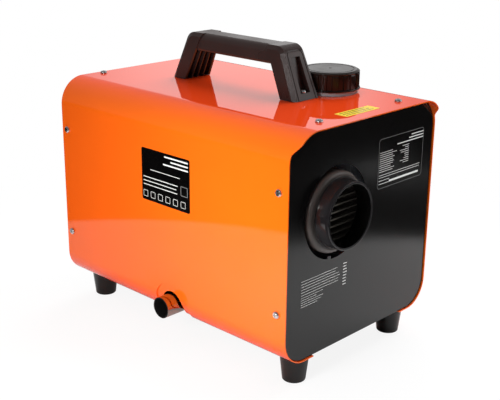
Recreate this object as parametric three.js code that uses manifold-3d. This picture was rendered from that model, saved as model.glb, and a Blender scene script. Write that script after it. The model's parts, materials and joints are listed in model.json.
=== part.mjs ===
// A portable diesel heater in an orange sheet-steel casing: outlet nozzle in front, filler cap and handle
// on top, fuel tank, dosing pump and finned burner unit inside.
// Millimetres. X runs from the rear panel to the outlet, Y across, Z up from the casing's underside.
import * as THREE from "three";
import { mergeVertices } from "three/addons/utils/BufferGeometryUtils.js";
import Module from "manifold-3d";

const wasm = await Module();
wasm.setup();

// Driving sizes

const gap = 0.3;
const overcut = 12;

const casing = {
  length: 361, width: 245, height: 248, sheet: 1.2, topRadius: 32, bottomRadius: 31, returnFlange: 15,
};
const visor = { swell: 8.5, reach: 9.4, foot: 23.5, shoulder: 9.7 };
const tray = { sheet: 1, recess: 1.5, flange: 20, flangeFoot: 38 };
const base = { sheet: 1.2, fromSide: 31.5, endGap: 2.8 };
const foot = { height: 30.2, top: 15.9, bottom: 12.5, edge: 1, fromEnd: 20.6, fromSide: 39.1 };
const footBolt = { radius: 5.5, depth: 10 };

const screw = { head: 4, headHeight: 2.4, crown: 2.6, shank: 1.6, hole: 2.1, length: 6 };
const screwPlace = { fromFront: 12, fromRear: 10, low: 59.2, belowTop: 60.2, fromSide: 56.5 };

const handle = {
  halfLength: 97.2, leanRatio: 0.43, height: 56, corner: 10.5, halfWidth: 20.6, taperRatio: 0.065,
  chamferAlong: 4.5, chamferAcross: 3.2, innerHalf: 75.4, innerRatio: 0.45, gripUnder: 35.1, innerCorner: 5,
};
const gripInset = { depth: 1.5, fromEnd: 22, above: 28, corner: 4 };
const handleHollow = { wall: 9, roof: 5, skin: 3, ribPitch: 9, rib: 1.6 };
const handlePocket = { halfWidth: 8.5, floor: 7, top: 43, topDepth: 3, floorDepth: 8.5 };
const handleGroove = { depth: 0.8, width: 1.2, halfWidth: 14.6, top: 51, corner: 6 };
const handleScrew = { head: 3.6, headHeight: 2.4, crown: 2.4, shank: 1.8, length: 13 };

const outlet = {
  hole: 50.1, body: 43.2, bodyRound: 4, shoulder: 2, reach: 17.5,
  collarFoot: 37.8, collarTip: 34.9, bead: 36.2, beadWidth: 4.5, bore: 33.2, seat: 38.6,
};
const outletTab = { width: 5.5, height: 3.4, turnDeg: -100.7 };
const guard = { depth: 4, rim: 2, barPitch: 7.4, bar: 1.6, behind: 5.5 };
const inlet = { flange: 54, flangeThickness: 2.4, spigot: 46.5, wall: 2, reach: 12, hub: 9, ring: 1.8 };

const heater = {
  width: 112, height: 116, corner: 26, wall: 2.5, inlet: 44.2, outlet: 40.6,
  rearInset: 4, rearCollar: 18, rearTaper: 18, frontInset: 31, frontCollar: 24, frontTaper: 36,
};
const fan = { radius: 40, hub: 14, length: 18, bladeThickness: 1.8, hubStart: 2 };
const motor = { radius: 22, length: 29.7, boss: 9, bossLength: 2, clear: 4 };
const shaft = { radius: 3, clear: 0.4 };
const blower = {
  radius: 46, length: 26, wall: 3, cavity: 37.5, frontWall: 3, port: 9, stub: 11, stubBore: 8, drop: 62,
};
const impeller = { radius: 34, plate: 2, width: 11, hub: 8, blade: 1.6, clear: 2 };
const exchanger = {
  flange: 46, flangeThickness: 4, core: 36, cavity: 32, end: 14, floor: 10, dome: 24,
  finWidth: 104, finHeight: 108, finCorner: 22, fin: 2, finFrom: 4,
};
const block = { halfWidth: 20, drop: 62.4, start: 6, pastExhaust: 22, clear: 2.5 };
const stub = { radius: 10.4, length: 14, bore: 7.5, fuelRadius: 2.2, fuelLength: 5 };
const plug = { along: 16, boss: 6.5, bossHeight: 46, bore: 3.3, rod: 2.6, hex: 5, hexHeight: 4, tip: 22 };
const burner = { plate: 31.6, plateThickness: 4, port: 6, tube: 20, tubeWall: 2, fromFloor: 31.4 };
const board = { length: 28, width: 52, sheet: 1.6, start: 1, chip: 3, capacitor: 4, capacitorDrop: 8 };
const bracket = { halfWidth: 40, sheet: 2, margin: 4, foot: 14, fromHose: 9.0821 };

const exhaust = { up: 19.2, radius: 12.3, wall: 1.5, past: 14.8, bend: 26 };
const dish = { radius: 27.5, slope: 1.5, depth: 1.5, hole: 16.1, up: 17.9 };
const airPipe = { radius: 10.8, wall: 1.5, silencer: 13.5, silencerTop: 60, silencerFoot: 24, below: 3 };

const tank = {
  rear: 56, frontInset: 33, fromHeater: 6.5, fromSide: 5, belowTop: 22, wall: 3,
  bottomFar: 30, bottomNear: 12, topRound: 14, endRound: 10,
};
const filler = {
  fromFront: 98.5, fromHandle: 0.4, collar: 31, collarHeight: 3.4, neck: 29, bore: 25.5, neckHeight: 19.5,
};
const gasket = { thickness: 1.6 };
const cap = {
  bottom: 4.1, height: 25.7, inside: 29.4, lip: 34.3, lipHeight: 3.6, root: 31.8, crest: 33.1,
  bandHeight: 5.4, crown: 29.8, dimple: 5, dimpleDepth: 0.8, round: 1, wideRib: 6.5, narrowRib: 3,
};
const elbow = {
  pastFilter: 36, up: 21, flange: 8, flangeThickness: 2, barb: 2.3, bore: 1.4, length: 12, spigot: 2.6,
};
const hose = { radius: 4.5, bore: 2.6 };
const filter = {
  radius: 10.5, length: 30, shoulder: 3, end: 5, fromMount: 1, nippleLength: 8, behindPump: 12,
};
const pump = { up: 45, radius: 15, length: 44, neck: 8, neckLength: 10, nippleLength: 8, tiltDeg: 15 };
const mount = { halfWidth: 18.5, halfLength: 13 };
const hoseRun = { bend: 10, past: 20, rear: 22 };
const fuelLine = { radius: 2.6, fromHeater: 47, belowBlock: 20, ahead: 14, bend: 12 };

const panel = {
  belowTop: 70, height: 58, corner: 6, plate: 2.6, boxInset: 4, boxDepth: 18, boxWall: 2,
};
const display = { height: 22, thickness: 1.5, up: 12, rim: 3 };
const button = { radius: 6, stand: 1.8, flange: 1.3, flangeThickness: 1.2, clear: 0.4, down: 15, round: 1 };
const socket = {
  up: 62, flange: 15, flangeThickness: 2, body: 10.5, depth: 18, bore: 8, boreDepth: 14, pin: 1.2,
  pinPitch: 3.4,
};
const loom = { radius: 3, branch: 2.2, bend: 8, over: 8, rear: 38, hole: 5, splice: 14 };

// Counts and shares

const facets = {
  corner: 6, small: 3, shell: 3, dish: 24, round: 32, ring: 16, cap: 32, foot: 18, drill: 6, screw: 8,
  hidden: 12, pipe: 16, hose: 8,
};
const guardBars = 9;
const capRibs = 18;
const fanBlades = 7;
const impellerBlades = 8;
const exchangerFins = 16;
const inletSpokes = 6;
const inletRingShares = [0.45, 0.72];
const visorSteps = 6;
// The heater's middle as shares of the casing's width and height, the pump's as one of its length, and the
// controls as shares of the width between the air inlet and the far side.
const heaterShare = { across: -46 / 245, up: 152.4 / 248 };
const pumpShare = 275 / 361;
const fuelStubShare = 24 / 54.8;
const panelShare = { near: 10 / 114.5, width: 84 / 114.5 };
const controlShare = { display: 48 / 84, buttonPitch: 20 / 84 };
const bladeShares = [0, 0.33, 0.67, 1];
const bladeSweep = Math.PI / 5;
const fanPitch = { root: -Math.PI / 5, middle: -Math.PI / 4, tip: -Math.PI / 3 };
const shoulderShares = [0.38, 0.71];
const chipShares = [-0.5, 0, 0.5];
const capacitorShares = [-0.25, 0.25];
const exhaustSteps = 8;
const hoseSteps = 6;
const lineSteps = 18;
const loomSteps = 14;

// Places worked out from the sizes

const side = casing.width / 2;
const flangeEnd = side - casing.bottomRadius - casing.returnFlange;
const innerTop = casing.height - casing.sheet;
const frontFace = casing.length - tray.recess;
const baseTop = casing.sheet + gap + base.sheet;
const handleCentre = casing.length / 2;
const legOut = (up) => handle.halfLength - handle.leanRatio * up;
const legIn = (up) => handle.innerHalf - handle.innerRatio * up;

const heaterAcross = casing.width * heaterShare.across;
const heaterUp = casing.height * heaterShare.up;
const shellRear = heater.rearInset;
const rearCollarEnd = shellRear + heater.rearCollar;
const bodyStart = rearCollarEnd + heater.rearTaper;
const shellFront = casing.length - heater.frontInset;
const frontCollarStart = shellFront - heater.frontCollar;
const bodyEnd = frontCollarStart - heater.frontTaper;

// The pump stands behind the outlet; its hose, the exhaust and the unit's foot follow it.
const pumpTilt = THREE.MathUtils.degToRad(pump.tiltDeg);
const pumpAxis = new THREE.Vector3(Math.cos(pumpTilt), 0, Math.sin(pumpTilt));
const pumpCentre = new THREE.Vector3(casing.length * pumpShare, heaterAcross, pump.up);
const hoseReach = pump.length / 2 + pump.neckLength + gap + hoseRun.past;
const hoseRear = pumpCentre.x - pumpAxis.x * hoseReach;
const bracketEnd = hoseRear - bracket.fromHose;
const blockEnd = bracketEnd - bracket.margin;
const exhaustAlong = blockEnd - block.pastExhaust;

const motorStart = bodyStart + fan.length + motor.clear;
const blowerStart = motorStart + motor.length + gap;
const blowerEnd = blowerStart + blower.length;
const exchangerStart = blowerEnd + gap;
const exchangerEnd = bodyEnd - exchanger.end;
const intakeAlong = blowerStart + blower.length / 2;
const blockStart = exchangerStart + block.start;
const blockFoot = heaterUp - block.drop;
const bracketTop = blockFoot - gap;
const bracketStart = blockStart - bracket.margin;
const stubRoom = [bracketStart + bracket.sheet, exhaustAlong - exhaust.radius];
const fuelStubAlong = THREE.MathUtils.lerp(...stubRoom, fuelStubShare);
const plugAlong = exchangerStart + plug.along;

const tankNear = heaterAcross + heater.width / 2 + tank.fromHeater;
const tankFar = side - tank.fromSide;
const tankFront = casing.length - tank.frontInset;
const tankTop = casing.height - tank.belowTop;
const tankFoot = baseTop + gap;
const fillerAlong = casing.length - filler.fromFront;
const fillerAcross = handle.halfWidth + cap.lip + filler.fromHandle;
const neckTop = casing.height + filler.neckHeight;
const gasketFoot = neckTop + gap;
const capCeiling = gasketFoot + gasket.thickness + gap;
const capFoot = casing.height + cap.bottom;
const capTop = casing.height + cap.height;

const loomAlong = motorStart + board.start + board.length / 2;
const shellTop = heaterUp + heater.height / 2;
const boardTop = shellTop - heater.wall - gap;
const filterAlong = pumpCentre.x - filter.behindPump;
const filterAcross = heaterAcross + mount.halfWidth + filter.radius + filter.fromMount;
const elbowAlong = filterAlong + elbow.pastFilter;
const inletEdge = heaterAcross + inlet.flange;
const panelRoom = side - inletEdge;
const panelWidth = panelRoom * panelShare.width;
const panelAcross = inletEdge + panelRoom * panelShare.near + panelWidth / 2;
const panelUp = casing.height - panel.belowTop;
const displayWidth = panelWidth * controlShare.display;
const buttonPitch = panelWidth * controlShare.buttonPitch;
const panelBack = tray.recess - gap;
const panelFace = panelBack - panel.plate;
const buttonAcross = [-buttonPitch, 0, buttonPitch];
const handleScrewAlong = legOut(handlePocket.floor) - handlePocket.floorDepth / 2;
const nearlyRound = 0.999;

// Materials

const paint = (color, roughness, metalness) => new THREE.MeshStandardMaterial(
  { color, roughness, metalness },
);
const orangePaint = paint(0xf26b1d, 0.25, 0.1);
const blackPaint = paint(0x1c1b1b, 0.35, 0.1);
const blackPlastic = paint(0x1e1d1c, 0.5, 0);
const glossPlastic = paint(0x191817, 0.3, 0);
const blackRubber = paint(0x151515, 0.7, 0);
const whitePlastic = paint(0xe9e7e0, 0.5, 0);
const zinc = paint(0xb9bcbf, 0.35, 1);
const polishedSteel = paint(0xc9cac9, 0.15, 1);
const rawSteel = paint(0x8c8f91, 0.45, 1);
const castAluminium = paint(0xa3a6a8, 0.5, 1);
const boardGreen = paint(0x23502f, 0.6, 0);
const darkGlass = paint(0x10151a, 0.1, 0);

// Geometry helpers

const axisX = new THREE.Vector3(1, 0, 0);
const axisY = new THREE.Vector3(0, 1, 0);
const axisZ = new THREE.Vector3(0, 0, 1);

// Corners are [across, up, radius]; each radius becomes an arc of short chords.
function rounded(corners, steps = facets.corner) {
  const origin = new THREE.Vector2();
  return corners.flatMap(([x, y, radius = 0], i) => {
    const corner = new THREE.Vector2(x, y);
    if (radius <= 0) return [corner];
    const [beforeX, beforeY] = corners.at(i - 1);
    const [afterX, afterY] = corners[(i + 1) % corners.length];
    const back = new THREE.Vector2(beforeX, beforeY).sub(corner).normalize();
    const ahead = new THREE.Vector2(afterX, afterY).sub(corner).normalize();
    const half = Math.acos(back.dot(ahead)) / 2;
    const middle = back.clone().add(ahead).normalize();
    const centre = corner.clone().addScaledVector(middle, radius / Math.sin(half));
    const start = corner.clone().addScaledVector(back, radius / Math.tan(half)).sub(centre);
    const end = corner.clone().addScaledVector(ahead, radius / Math.tan(half)).sub(centre);
    const turn = Math.atan2(start.cross(end), start.dot(end));
    return Array.from({ length: steps + 1 }, (_, k) =>
      start.clone().rotateAround(origin, (turn * k) / steps).add(centre));
  });
}

function rectangle(left, right, bottom, top, radius = 0) {
  return [[left, bottom, radius], [right, bottom, radius], [right, top, radius], [left, top, radius]];
}

function circle(radius, count, x = 0, y = 0) {
  return Array.from({ length: count }, (_, i) => {
    const turn = (2 * Math.PI * (i + 0.5)) / count;
    return new THREE.Vector2(x + radius * Math.cos(turn), y + radius * Math.sin(turn));
  });
}

// One closed mesh with shared vertices, no slivers and its faces pointing out.
function closed(geometry) {
  const bare = geometry.clone();
  bare.deleteAttribute("normal");
  bare.deleteAttribute("uv");
  const merged = mergeVertices(bare);
  const position = merged.attributes.position;
  const corner = [new THREE.Vector3(), new THREE.Vector3(), new THREE.Vector3()];
  const kept = [];
  let volume = 0;
  for (let i = 0; i < merged.index.count; i += 3) {
    const face = [0, 1, 2].map((k) => merged.index.getX(i + k));
    if (new Set(face).size < 3) continue;
    kept.push(...face);
    face.forEach((vertex, k) => corner[k].fromBufferAttribute(position, vertex));
    volume += corner[0].dot(corner[1].clone().cross(corner[2]));
  }
  if (volume < 0) kept.reverse();
  merged.setIndex(kept);
  merged.computeVertexNormals();
  return merged;
}

function solidOf(geometry) {
  const { attributes, index } = closed(geometry);
  return new wasm.Manifold(new wasm.Mesh({
    numProp: 3,
    vertProperties: Float32Array.from(attributes.position.array),
    triVerts: Uint32Array.from(index.array),
  }));
}

function geometryOf(body) {
  const mesh = body.getMesh();
  const geometry = new THREE.BufferGeometry();
  geometry.setAttribute(
    "position", new THREE.BufferAttribute(Float32Array.from(mesh.vertProperties), mesh.numProp),
  );
  geometry.setIndex(Array.from(mesh.triVerts));
  geometry.computeVertexNormals();
  return geometry;
}

const combine = (how) => (first, ...others) =>
  geometryOf(others.flat().reduce((body, other) => body[how](solidOf(other)), solidOf(first)));
const join = combine("add");
const cut = combine("subtract");
const overlap = combine("intersect");

// Prisms: an outline swept along one axis.

function prism(outline, from, to, basis) {
  const depth = to - from;
  const shape = new THREE.Shape(outline);
  return new THREE.ExtrudeGeometry(shape, { depth, bevelEnabled: false }).applyMatrix4(basis);
}

const basisX = new THREE.Matrix4().makeBasis(axisY, axisZ, axisX);
const basisY = new THREE.Matrix4().makeBasis(axisX, axisZ, axisY.clone().negate());

const alongX = (outline, from, to) => closed(prism(outline, from, to, basisX).translate(from, 0, 0));
const alongY = (outline, from, to) => closed(prism(outline, from, to, basisY).translate(0, to, 0));
const alongZ = (outline, from, to) => closed(
  prism(outline, from, to, new THREE.Matrix4()).translate(0, 0, from),
);

const box = (x, y, z) => alongZ(rounded(rectangle(x[0], x[1], y[0], y[1])), z[0], z[1]);

// Turned pieces: the profile is [along, radius] pairs; a profile that leaves the axis closes on itself.

function turned(profile, count) {
  const points = profile.map(([along, radius]) => new THREE.Vector2(radius, along));
  const onAxis = points[0].x === 0 && points.at(-1).x === 0;
  if (!onAxis) points.push(points[0].clone());
  return new THREE.LatheGeometry(points, count);
}

const turnX = (profile, count = facets.hidden) => closed(turned(profile, count).rotateZ(-Math.PI / 2));
const turnY = (profile, count = facets.hidden) => closed(turned(profile, count));
const turnZ = (profile, count = facets.hidden) => closed(turned(profile, count).rotateX(Math.PI / 2));

const rod = (radius, from, to) => [[from, 0], [from, radius], [to, radius], [to, 0]];
const sleeve = (inner, outer, from, to) => [[from, inner], [from, outer], [to, outer], [to, inner]];
const onHeaterAxis = (geometry) => geometry.translate(0, heaterAcross, heaterUp);

// A solid through rings of equal point counts, capped at both ends.
function loft(rings, basis = basisX) {
  const count = rings[0].outline.length;
  const points = rings.flatMap(({ at, outline }) =>
    outline.map(({ x, y }) => new THREE.Vector3(x, y, at).applyMatrix4(basis)));
  const index = [];
  for (let ring = 0; ring + 1 < rings.length; ring += 1) {
    for (let i = 0; i < count; i += 1) {
      const a = ring * count + i;
      const b = ring * count + ((i + 1) % count);
      index.push(a, b, b + count, a, b + count, a + count);
    }
  }
  const lastRing = (rings.length - 1) * count;
  for (const [a, b, c] of THREE.ShapeUtils.triangulateShape(rings[0].outline, [])) index.push(c, b, a);
  for (const [a, b, c] of THREE.ShapeUtils.triangulateShape(rings.at(-1).outline, [])) {
    index.push(lastRing + a, lastRing + b, lastRing + c);
  }
  return closed(new THREE.BufferGeometry().setFromPoints(points).setIndex(index));
}

// A path of straight runs whose corners are eased by a bend.
function route(corners, bend) {
  const stops = corners.map((corner) => new THREE.Vector3(...corner));
  const path = new THREE.CurvePath();
  let from = stops[0];
  for (let i = 1; i + 1 < stops.length; i += 1) {
    const back = stops[i - 1].clone().sub(stops[i]);
    const ahead = stops[i + 1].clone().sub(stops[i]);
    const reach = Math.min(bend, back.length() / 2, ahead.length() / 2);
    const enter = stops[i].clone().addScaledVector(back.normalize(), reach);
    const leave = stops[i].clone().addScaledVector(ahead.normalize(), reach);
    path.add(new THREE.LineCurve3(from, enter));
    path.add(new THREE.QuadraticBezierCurve3(enter, stops[i], leave));
    from = leave;
  }
  path.add(new THREE.LineCurve3(from, stops.at(-1)));
  return path;
}

function pipe(path, radius, bore, steps, sides = facets.hose) {
  const shape = new THREE.Shape(circle(radius, sides));
  if (bore > 0) shape.holes.push(new THREE.Path(circle(bore, sides)));
  return closed(new THREE.ExtrudeGeometry(shape, { extrudePath: path, steps }));
}

// Casing wrap

function wrapPath(inset) {
  const across = side - inset;
  const top = casing.height - inset;
  return [
    [-flangeEnd, inset, 0],
    [-across, inset, casing.bottomRadius - inset],
    [-across, top, casing.topRadius - inset],
    [across, top, casing.topRadius - inset],
    [across, inset, casing.bottomRadius - inset],
    [flangeEnd, inset, 0],
  ];
}

const skin = (outer, inner) => rounded([...wrapPath(outer), ...wrapPath(inner).reverse()]);

// Everything in front of the wrap's S-shaped front edge, as a side view.
function aheadOfVisor() {
  const start = casing.height - visor.foot;
  const rise = visor.foot - visor.shoulder;
  const swell = Array.from({ length: visorSteps + 1 }, (_, i) => {
    const share = i / visorSteps;
    return [casing.length + visor.swell * THREE.MathUtils.smoothstep(share, 0, 1), start + rise * share];
  });
  const tip = casing.length + visor.reach;
  const far = tip + overcut;
  const above = casing.height + overcut;
  return rounded([
    [casing.length, -overcut], ...swell, [tip, casing.height], [tip, above], [far, above], [far, -overcut],
  ]);
}

// Screw axes in the sides and the top, as the head's seat and its outward direction.
function casingScrewPlaces() {
  const alongs = [["front", casing.length - screwPlace.fromFront], ["rear", screwPlace.fromRear]];
  const seats = [];
  for (const [end, along] of alongs) {
    for (const [hand, sign] of [["near", -1], ["far", 1]]) {
      const outward = axisY.clone().multiplyScalar(sign);
      const low = new THREE.Vector3(along, sign * side, screwPlace.low);
      const high = new THREE.Vector3(along, sign * side, casing.height - screwPlace.belowTop);
      const top = new THREE.Vector3(along, sign * (side - screwPlace.fromSide), casing.height);
      seats.push({ name: `screw_${end}_${hand}_low`, seat: low, outward });
      seats.push({ name: `screw_${end}_${hand}_high`, seat: high, outward });
      seats.push({ name: `screw_${end}_${hand}_top`, seat: top, outward: axisZ });
    }
  }
  return seats;
}

const screwSeats = casingScrewPlaces();

function drilled(geometry, seats, radius) {
  const drills = seats.map(({ seat, outward }) => {
    const drill = turnZ(rod(radius, -overcut, overcut), facets.drill);
    const turn = new THREE.Quaternion().setFromUnitVectors(axisZ, outward);
    return drill.applyQuaternion(turn).translate(...seat);
  });
  return cut(geometry, drills);
}

function casingWrap() {
  const end = casing.length + visor.reach;
  const nearEdge = -side - overcut;
  const dishEnd = casing.bottomRadius - side;
  const atDish = (geometry) => geometry.translate(exhaustAlong, 0, dish.up);
  const backing = atDish(turnY(rod(dish.radius, nearEdge, dishEnd), facets.dish));
  const shallow = dish.radius - dish.slope;
  const press = atDish(turnY(rod(shallow, nearEdge, dishEnd), facets.dish));
  const hole = atDish(turnY(rod(dish.hole, nearEdge, dishEnd), facets.dish));
  const room = [exhaustAlong - dish.radius - overcut, exhaustAlong + dish.radius + overcut];
  const thick = overlap(alongX(skin(0, dish.depth + casing.sheet), ...room), backing);
  const dent = overlap(alongX(skin(-overcut, dish.depth), ...room), press);
  const fillerHole = turnZ(
    rod(filler.collar + 2 * gap, innerTop - overcut, casing.height + overcut), facets.dish,
  );
  const sheet = join(alongX(skin(0, casing.sheet), 0, end), thick);
  const open = cut(sheet, dent, hole, fillerHole.translate(fillerAlong, fillerAcross, 0));
  const trimmed = cut(open, alongY(aheadOfVisor(), -side - overcut, side + overcut));
  const handleSeats = [-1, 1].map((sign) => ({
    seat: new THREE.Vector3(handleCentre + sign * handleScrewAlong, 0, casing.height), outward: axisZ,
  }));
  return drilled(trimmed, [...screwSeats, ...handleSeats], screw.hole);
}

// Panels and base

function trayOutline(inset) {
  const seat = casing.sheet + gap + inset;
  const across = side - seat;
  const bottom = casing.bottomRadius - seat;
  const top = casing.topRadius - seat;
  return rounded([
    [-across, seat, bottom], [across, seat, bottom],
    [across, casing.height - seat, top], [-across, casing.height - seat, top],
  ]);
}

// A folded tray with its face at `face` and its flanges running `inward` (+1 or -1) along X.
function foldedTray(face, inward) {
  const back = face + inward * tray.sheet;
  const rim = back + inward * tray.flange;
  const past = rim + inward * overcut;
  const sorted = (a, b) => [Math.min(a, b), Math.max(a, b)];
  const blank = alongX(trayOutline(0), ...sorted(face, rim));
  const hollow = alongX(trayOutline(tray.sheet), ...sorted(back, past));
  const foot = box(sorted(back, past), [-side, side], [-overcut, tray.flangeFoot]);
  return cut(blank, hollow, foot);
}

function frontPanel() {
  const hole = turnX(rod(outlet.hole, frontFace - overcut, frontFace + overcut), facets.round);
  const turn = THREE.MathUtils.degToRad(outletTab.turnDeg);
  const reach = outlet.hole - outletTab.height;
  const tabBack = frontFace - tray.sheet;
  const tab = box(
    [tabBack, frontFace], [reach, outlet.hole + outletTab.height],
    [-outletTab.width / 2, outletTab.width / 2],
  );
  const opened = cut(foldedTray(frontFace, -1), onHeaterAxis(hole));
  return drilled(join(opened, onHeaterAxis(tab.rotateX(turn))), screwSeats, screw.hole);
}

function rearPanel() {
  const past = [tray.recess - overcut, tray.recess + overcut];
  const inletHole = onHeaterAxis(turnX(rod(inlet.spigot + gap, ...past), facets.round));
  const boxHalfWidth = panelWidth / 2 - panel.boxInset + gap;
  const boxHalfHeight = panel.height / 2 - panel.boxInset + gap;
  const opening = rounded(rectangle(-boxHalfWidth, boxHalfWidth, -boxHalfHeight, boxHalfHeight));
  const panelHole = alongX(opening, ...past).translate(0, panelAcross, panelUp);
  const socketHole = turnX(rod(socket.body + gap, ...past)).translate(0, panelAcross, socket.up);
  return drilled(cut(foldedTray(tray.recess, 1), inletHole, panelHole, socketHole), screwSeats, screw.hole);
}

function basePlate() {
  const plate = box(
    [base.endGap, casing.length - base.endGap], [base.fromSide - side, side - base.fromSide],
    [casing.sheet + gap, baseTop],
  );
  const airHole = turnZ(rod(airPipe.radius + 2 * gap, -overcut, baseTop + overcut));
  return cut(plate, airHole.translate(intakeAlong, heaterAcross, 0));
}

function rubberFoot() {
  const profile = [
    [footBolt.depth - foot.height, 0],
    [footBolt.depth - foot.height, footBolt.radius],
    [-foot.height, footBolt.radius],
    [-foot.height, foot.bottom - foot.edge],
    [foot.edge - foot.height, foot.bottom],
    [-foot.edge, foot.top],
    [0, foot.top - foot.edge],
    [0, 0],
  ];
  return turnZ(profile, facets.foot);
}

// A pan-head screw that stands on z = 0 with its head up.
function panScrew({ head, headHeight, crown, shank, length }) {
  const profile = [
    [-length, 0], [-length, shank], [0, shank], [0, head],
    [headHeight / 2, head], [headHeight, crown], [headHeight, 0],
  ];
  return turnZ(profile, facets.screw);
}

// Handle, built upright on z = 0 over the casing's top and centred on X and Y

function bevelledBody() {
  const low = -overcut;
  const outline = rounded([
    [-legOut(low), low], [legOut(low), low],
    [legOut(handle.height), handle.height, handle.corner],
    [-legOut(handle.height), handle.height, handle.corner],
  ]);
  const depth = 2 * (handle.halfWidth - handle.chamferAcross);
  const bevel = {
    depth, bevelSegments: 1, bevelSize: handle.chamferAlong,
    bevelOffset: -handle.chamferAlong, bevelThickness: handle.chamferAcross,
  };
  const body = new THREE.ExtrudeGeometry(new THREE.Shape(outline), bevel);
  return closed(body.applyMatrix4(basisY).translate(0, depth / 2, 0));
}

function fingerGap() {
  const low = -overcut;
  const outline = rounded([
    [-legIn(low), low], [legIn(low), low],
    [legIn(handle.gripUnder), handle.gripUnder, handle.innerCorner],
    [-legIn(handle.gripUnder), handle.gripUnder, handle.innerCorner],
  ], facets.small);
  return alongY(outline, -handle.halfWidth - overcut, handle.halfWidth + overcut);
}

function gripFaceInset(sign) {
  const end = legOut(handle.height) - gripInset.fromEnd;
  const outline = rounded(
    rectangle(-end, end, gripInset.above, handle.height - gripInset.corner, gripInset.corner), facets.small,
  );
  const face = handle.halfWidth - gripInset.depth;
  const faces = [sign * face, sign * (face + overcut)].sort((a, b) => a - b);
  return alongY(outline, ...faces);
}

// Lengthwise channels under the grip and inside the legs, parted by ribs.
function hollows() {
  const top = handle.height - handleHollow.roof;
  const low = -overcut;
  const reach = (up) => legIn(up) + handleHollow.wall;
  const outline = rounded([
    [-reach(low), low], [reach(low), low],
    [reach(top), top, handle.innerCorner], [-reach(top), top, handle.innerCorner],
  ], 1);
  const edge = handle.halfWidth - handleHollow.skin;
  const half = handleHollow.rib / 2;
  const pitch = handleHollow.ribPitch;
  const slots = [[-edge, -pitch - half], [half - pitch, -half], [half, pitch - half], [pitch + half, edge]];
  return slots.map(([from, to]) => alongY(outline, from, to));
}

function screwPocket(sign) {
  const { floor, top, floorDepth, topDepth, halfWidth } = handlePocket;
  const outline = rounded([
    [legOut(floor) - floorDepth, floor], [legOut(floor) + overcut, floor],
    [legOut(top) + overcut, top], [legOut(top) - topDepth, top],
  ]);
  const pocket = alongY(outline, -halfWidth, halfWidth);
  return sign > 0 ? pocket : closed(pocket.scale(-1, 1, 1));
}

function legGroove(sign) {
  const { depth, width, halfWidth, top, corner } = handleGroove;
  const outer = rounded(rectangle(-halfWidth, halfWidth, -overcut, top, corner), facets.small);
  const inner = rounded(
    rectangle(width - halfWidth, halfWidth - width, -overcut, top - width, corner - width), facets.small,
  );
  const across = [legOut(top) - overcut, legOut(0) + overcut];
  const ring = cut(alongX(outer, ...across), alongX(inner, across[0] - overcut, across[1] + overcut));
  const strip = rounded([
    [legOut(-overcut) - depth, -overcut], [legOut(-overcut) + overcut, -overcut],
    [legOut(top) + overcut, top], [legOut(top) - depth, top],
  ]);
  const groove = overlap(ring, alongY(strip, -side, side));
  return sign > 0 ? groove : closed(groove.scale(-1, 1, 1));
}

// The half width shrinks evenly with height.
function tapered(geometry) {
  const position = geometry.attributes.position;
  for (let i = 0; i < position.count; i += 1) {
    const share = 1 - (handle.taperRatio * position.getZ(i)) / handle.halfWidth;
    position.setY(i, position.getY(i) * share);
  }
  return geometry;
}

function carryingHandle() {
  const below = box([-casing.length, casing.length], [-side, side], [-overcut - overcut, 0]);
  const insets = [-1, 1].map(gripFaceInset);
  const pockets = [-1, 1].map(screwPocket);
  const grooves = [-1, 1].map(legGroove);
  const shankHoles = [-1, 1].map((sign) => {
    const hole = turnZ(rod(handleScrew.shank + gap, -overcut, handlePocket.floor + gap), facets.screw);
    return hole.translate(sign * handleScrewAlong, 0, 0);
  });
  return tapered(cut(bevelledBody(), fingerGap(), hollows(), insets, pockets, grooves, shankHoles, below));
}

// Warm-air path

function outletNozzle() {
  const face = casing.length + outlet.shoulder;
  const tip = casing.length + outlet.reach;
  const beadStart = tip - outlet.beadWidth;
  const shellMouth = shellFront + gap;
  const sleeveStart = frontCollarStart + gap;
  const sleeveInner = heater.outlet + gap;
  const shoulderDepth = face - outlet.bodyRound;
  const seatEnd = casing.length - guard.behind + guard.depth + gap;
  const easing = shoulderShares.map((share) => {
    const turn = (share * Math.PI) / 2;
    return [
      shoulderDepth + outlet.bodyRound * Math.sin(turn),
      outlet.body - outlet.bodyRound * (1 - Math.cos(turn)),
    ];
  });
  const profile = [
    [sleeveStart, sleeveInner], [sleeveStart, outlet.body], [shoulderDepth, outlet.body],
    ...easing, [face, outlet.body - outlet.bodyRound], [face, outlet.collarFoot],
    [beadStart - gap, outlet.collarTip], [beadStart + gap, outlet.bead - gap],
    [beadStart + 2 * gap, outlet.bead],
    [tip - gap, outlet.bead], [tip, outlet.bead - gap], [tip, outlet.bore],
    [seatEnd, outlet.bore], [seatEnd, outlet.seat], [shellMouth, outlet.seat], [shellMouth, sleeveInner],
  ];
  return onHeaterAxis(turnX(profile, facets.round));
}

function outletGuard() {
  const back = casing.length - guard.behind;
  const front = back + guard.depth;
  const rim = outlet.seat - gap;
  const ring = turnX(sleeve(rim - guard.rim, rim, back, front), facets.round);
  const disc = turnX(rod(rim - guard.rim / 2, back, front), facets.round);
  const bars = Array.from({ length: guardBars }, (_, i) => {
    const up = (i - (guardBars - 1) / 2) * guard.barPitch;
    return box([back, front], [-rim, rim], [up - guard.bar / 2, up + guard.bar / 2]);
  });
  const grid = overlap(disc, join(bars[0], bars.slice(1)));
  return onHeaterAxis(join(ring, grid));
}

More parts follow.
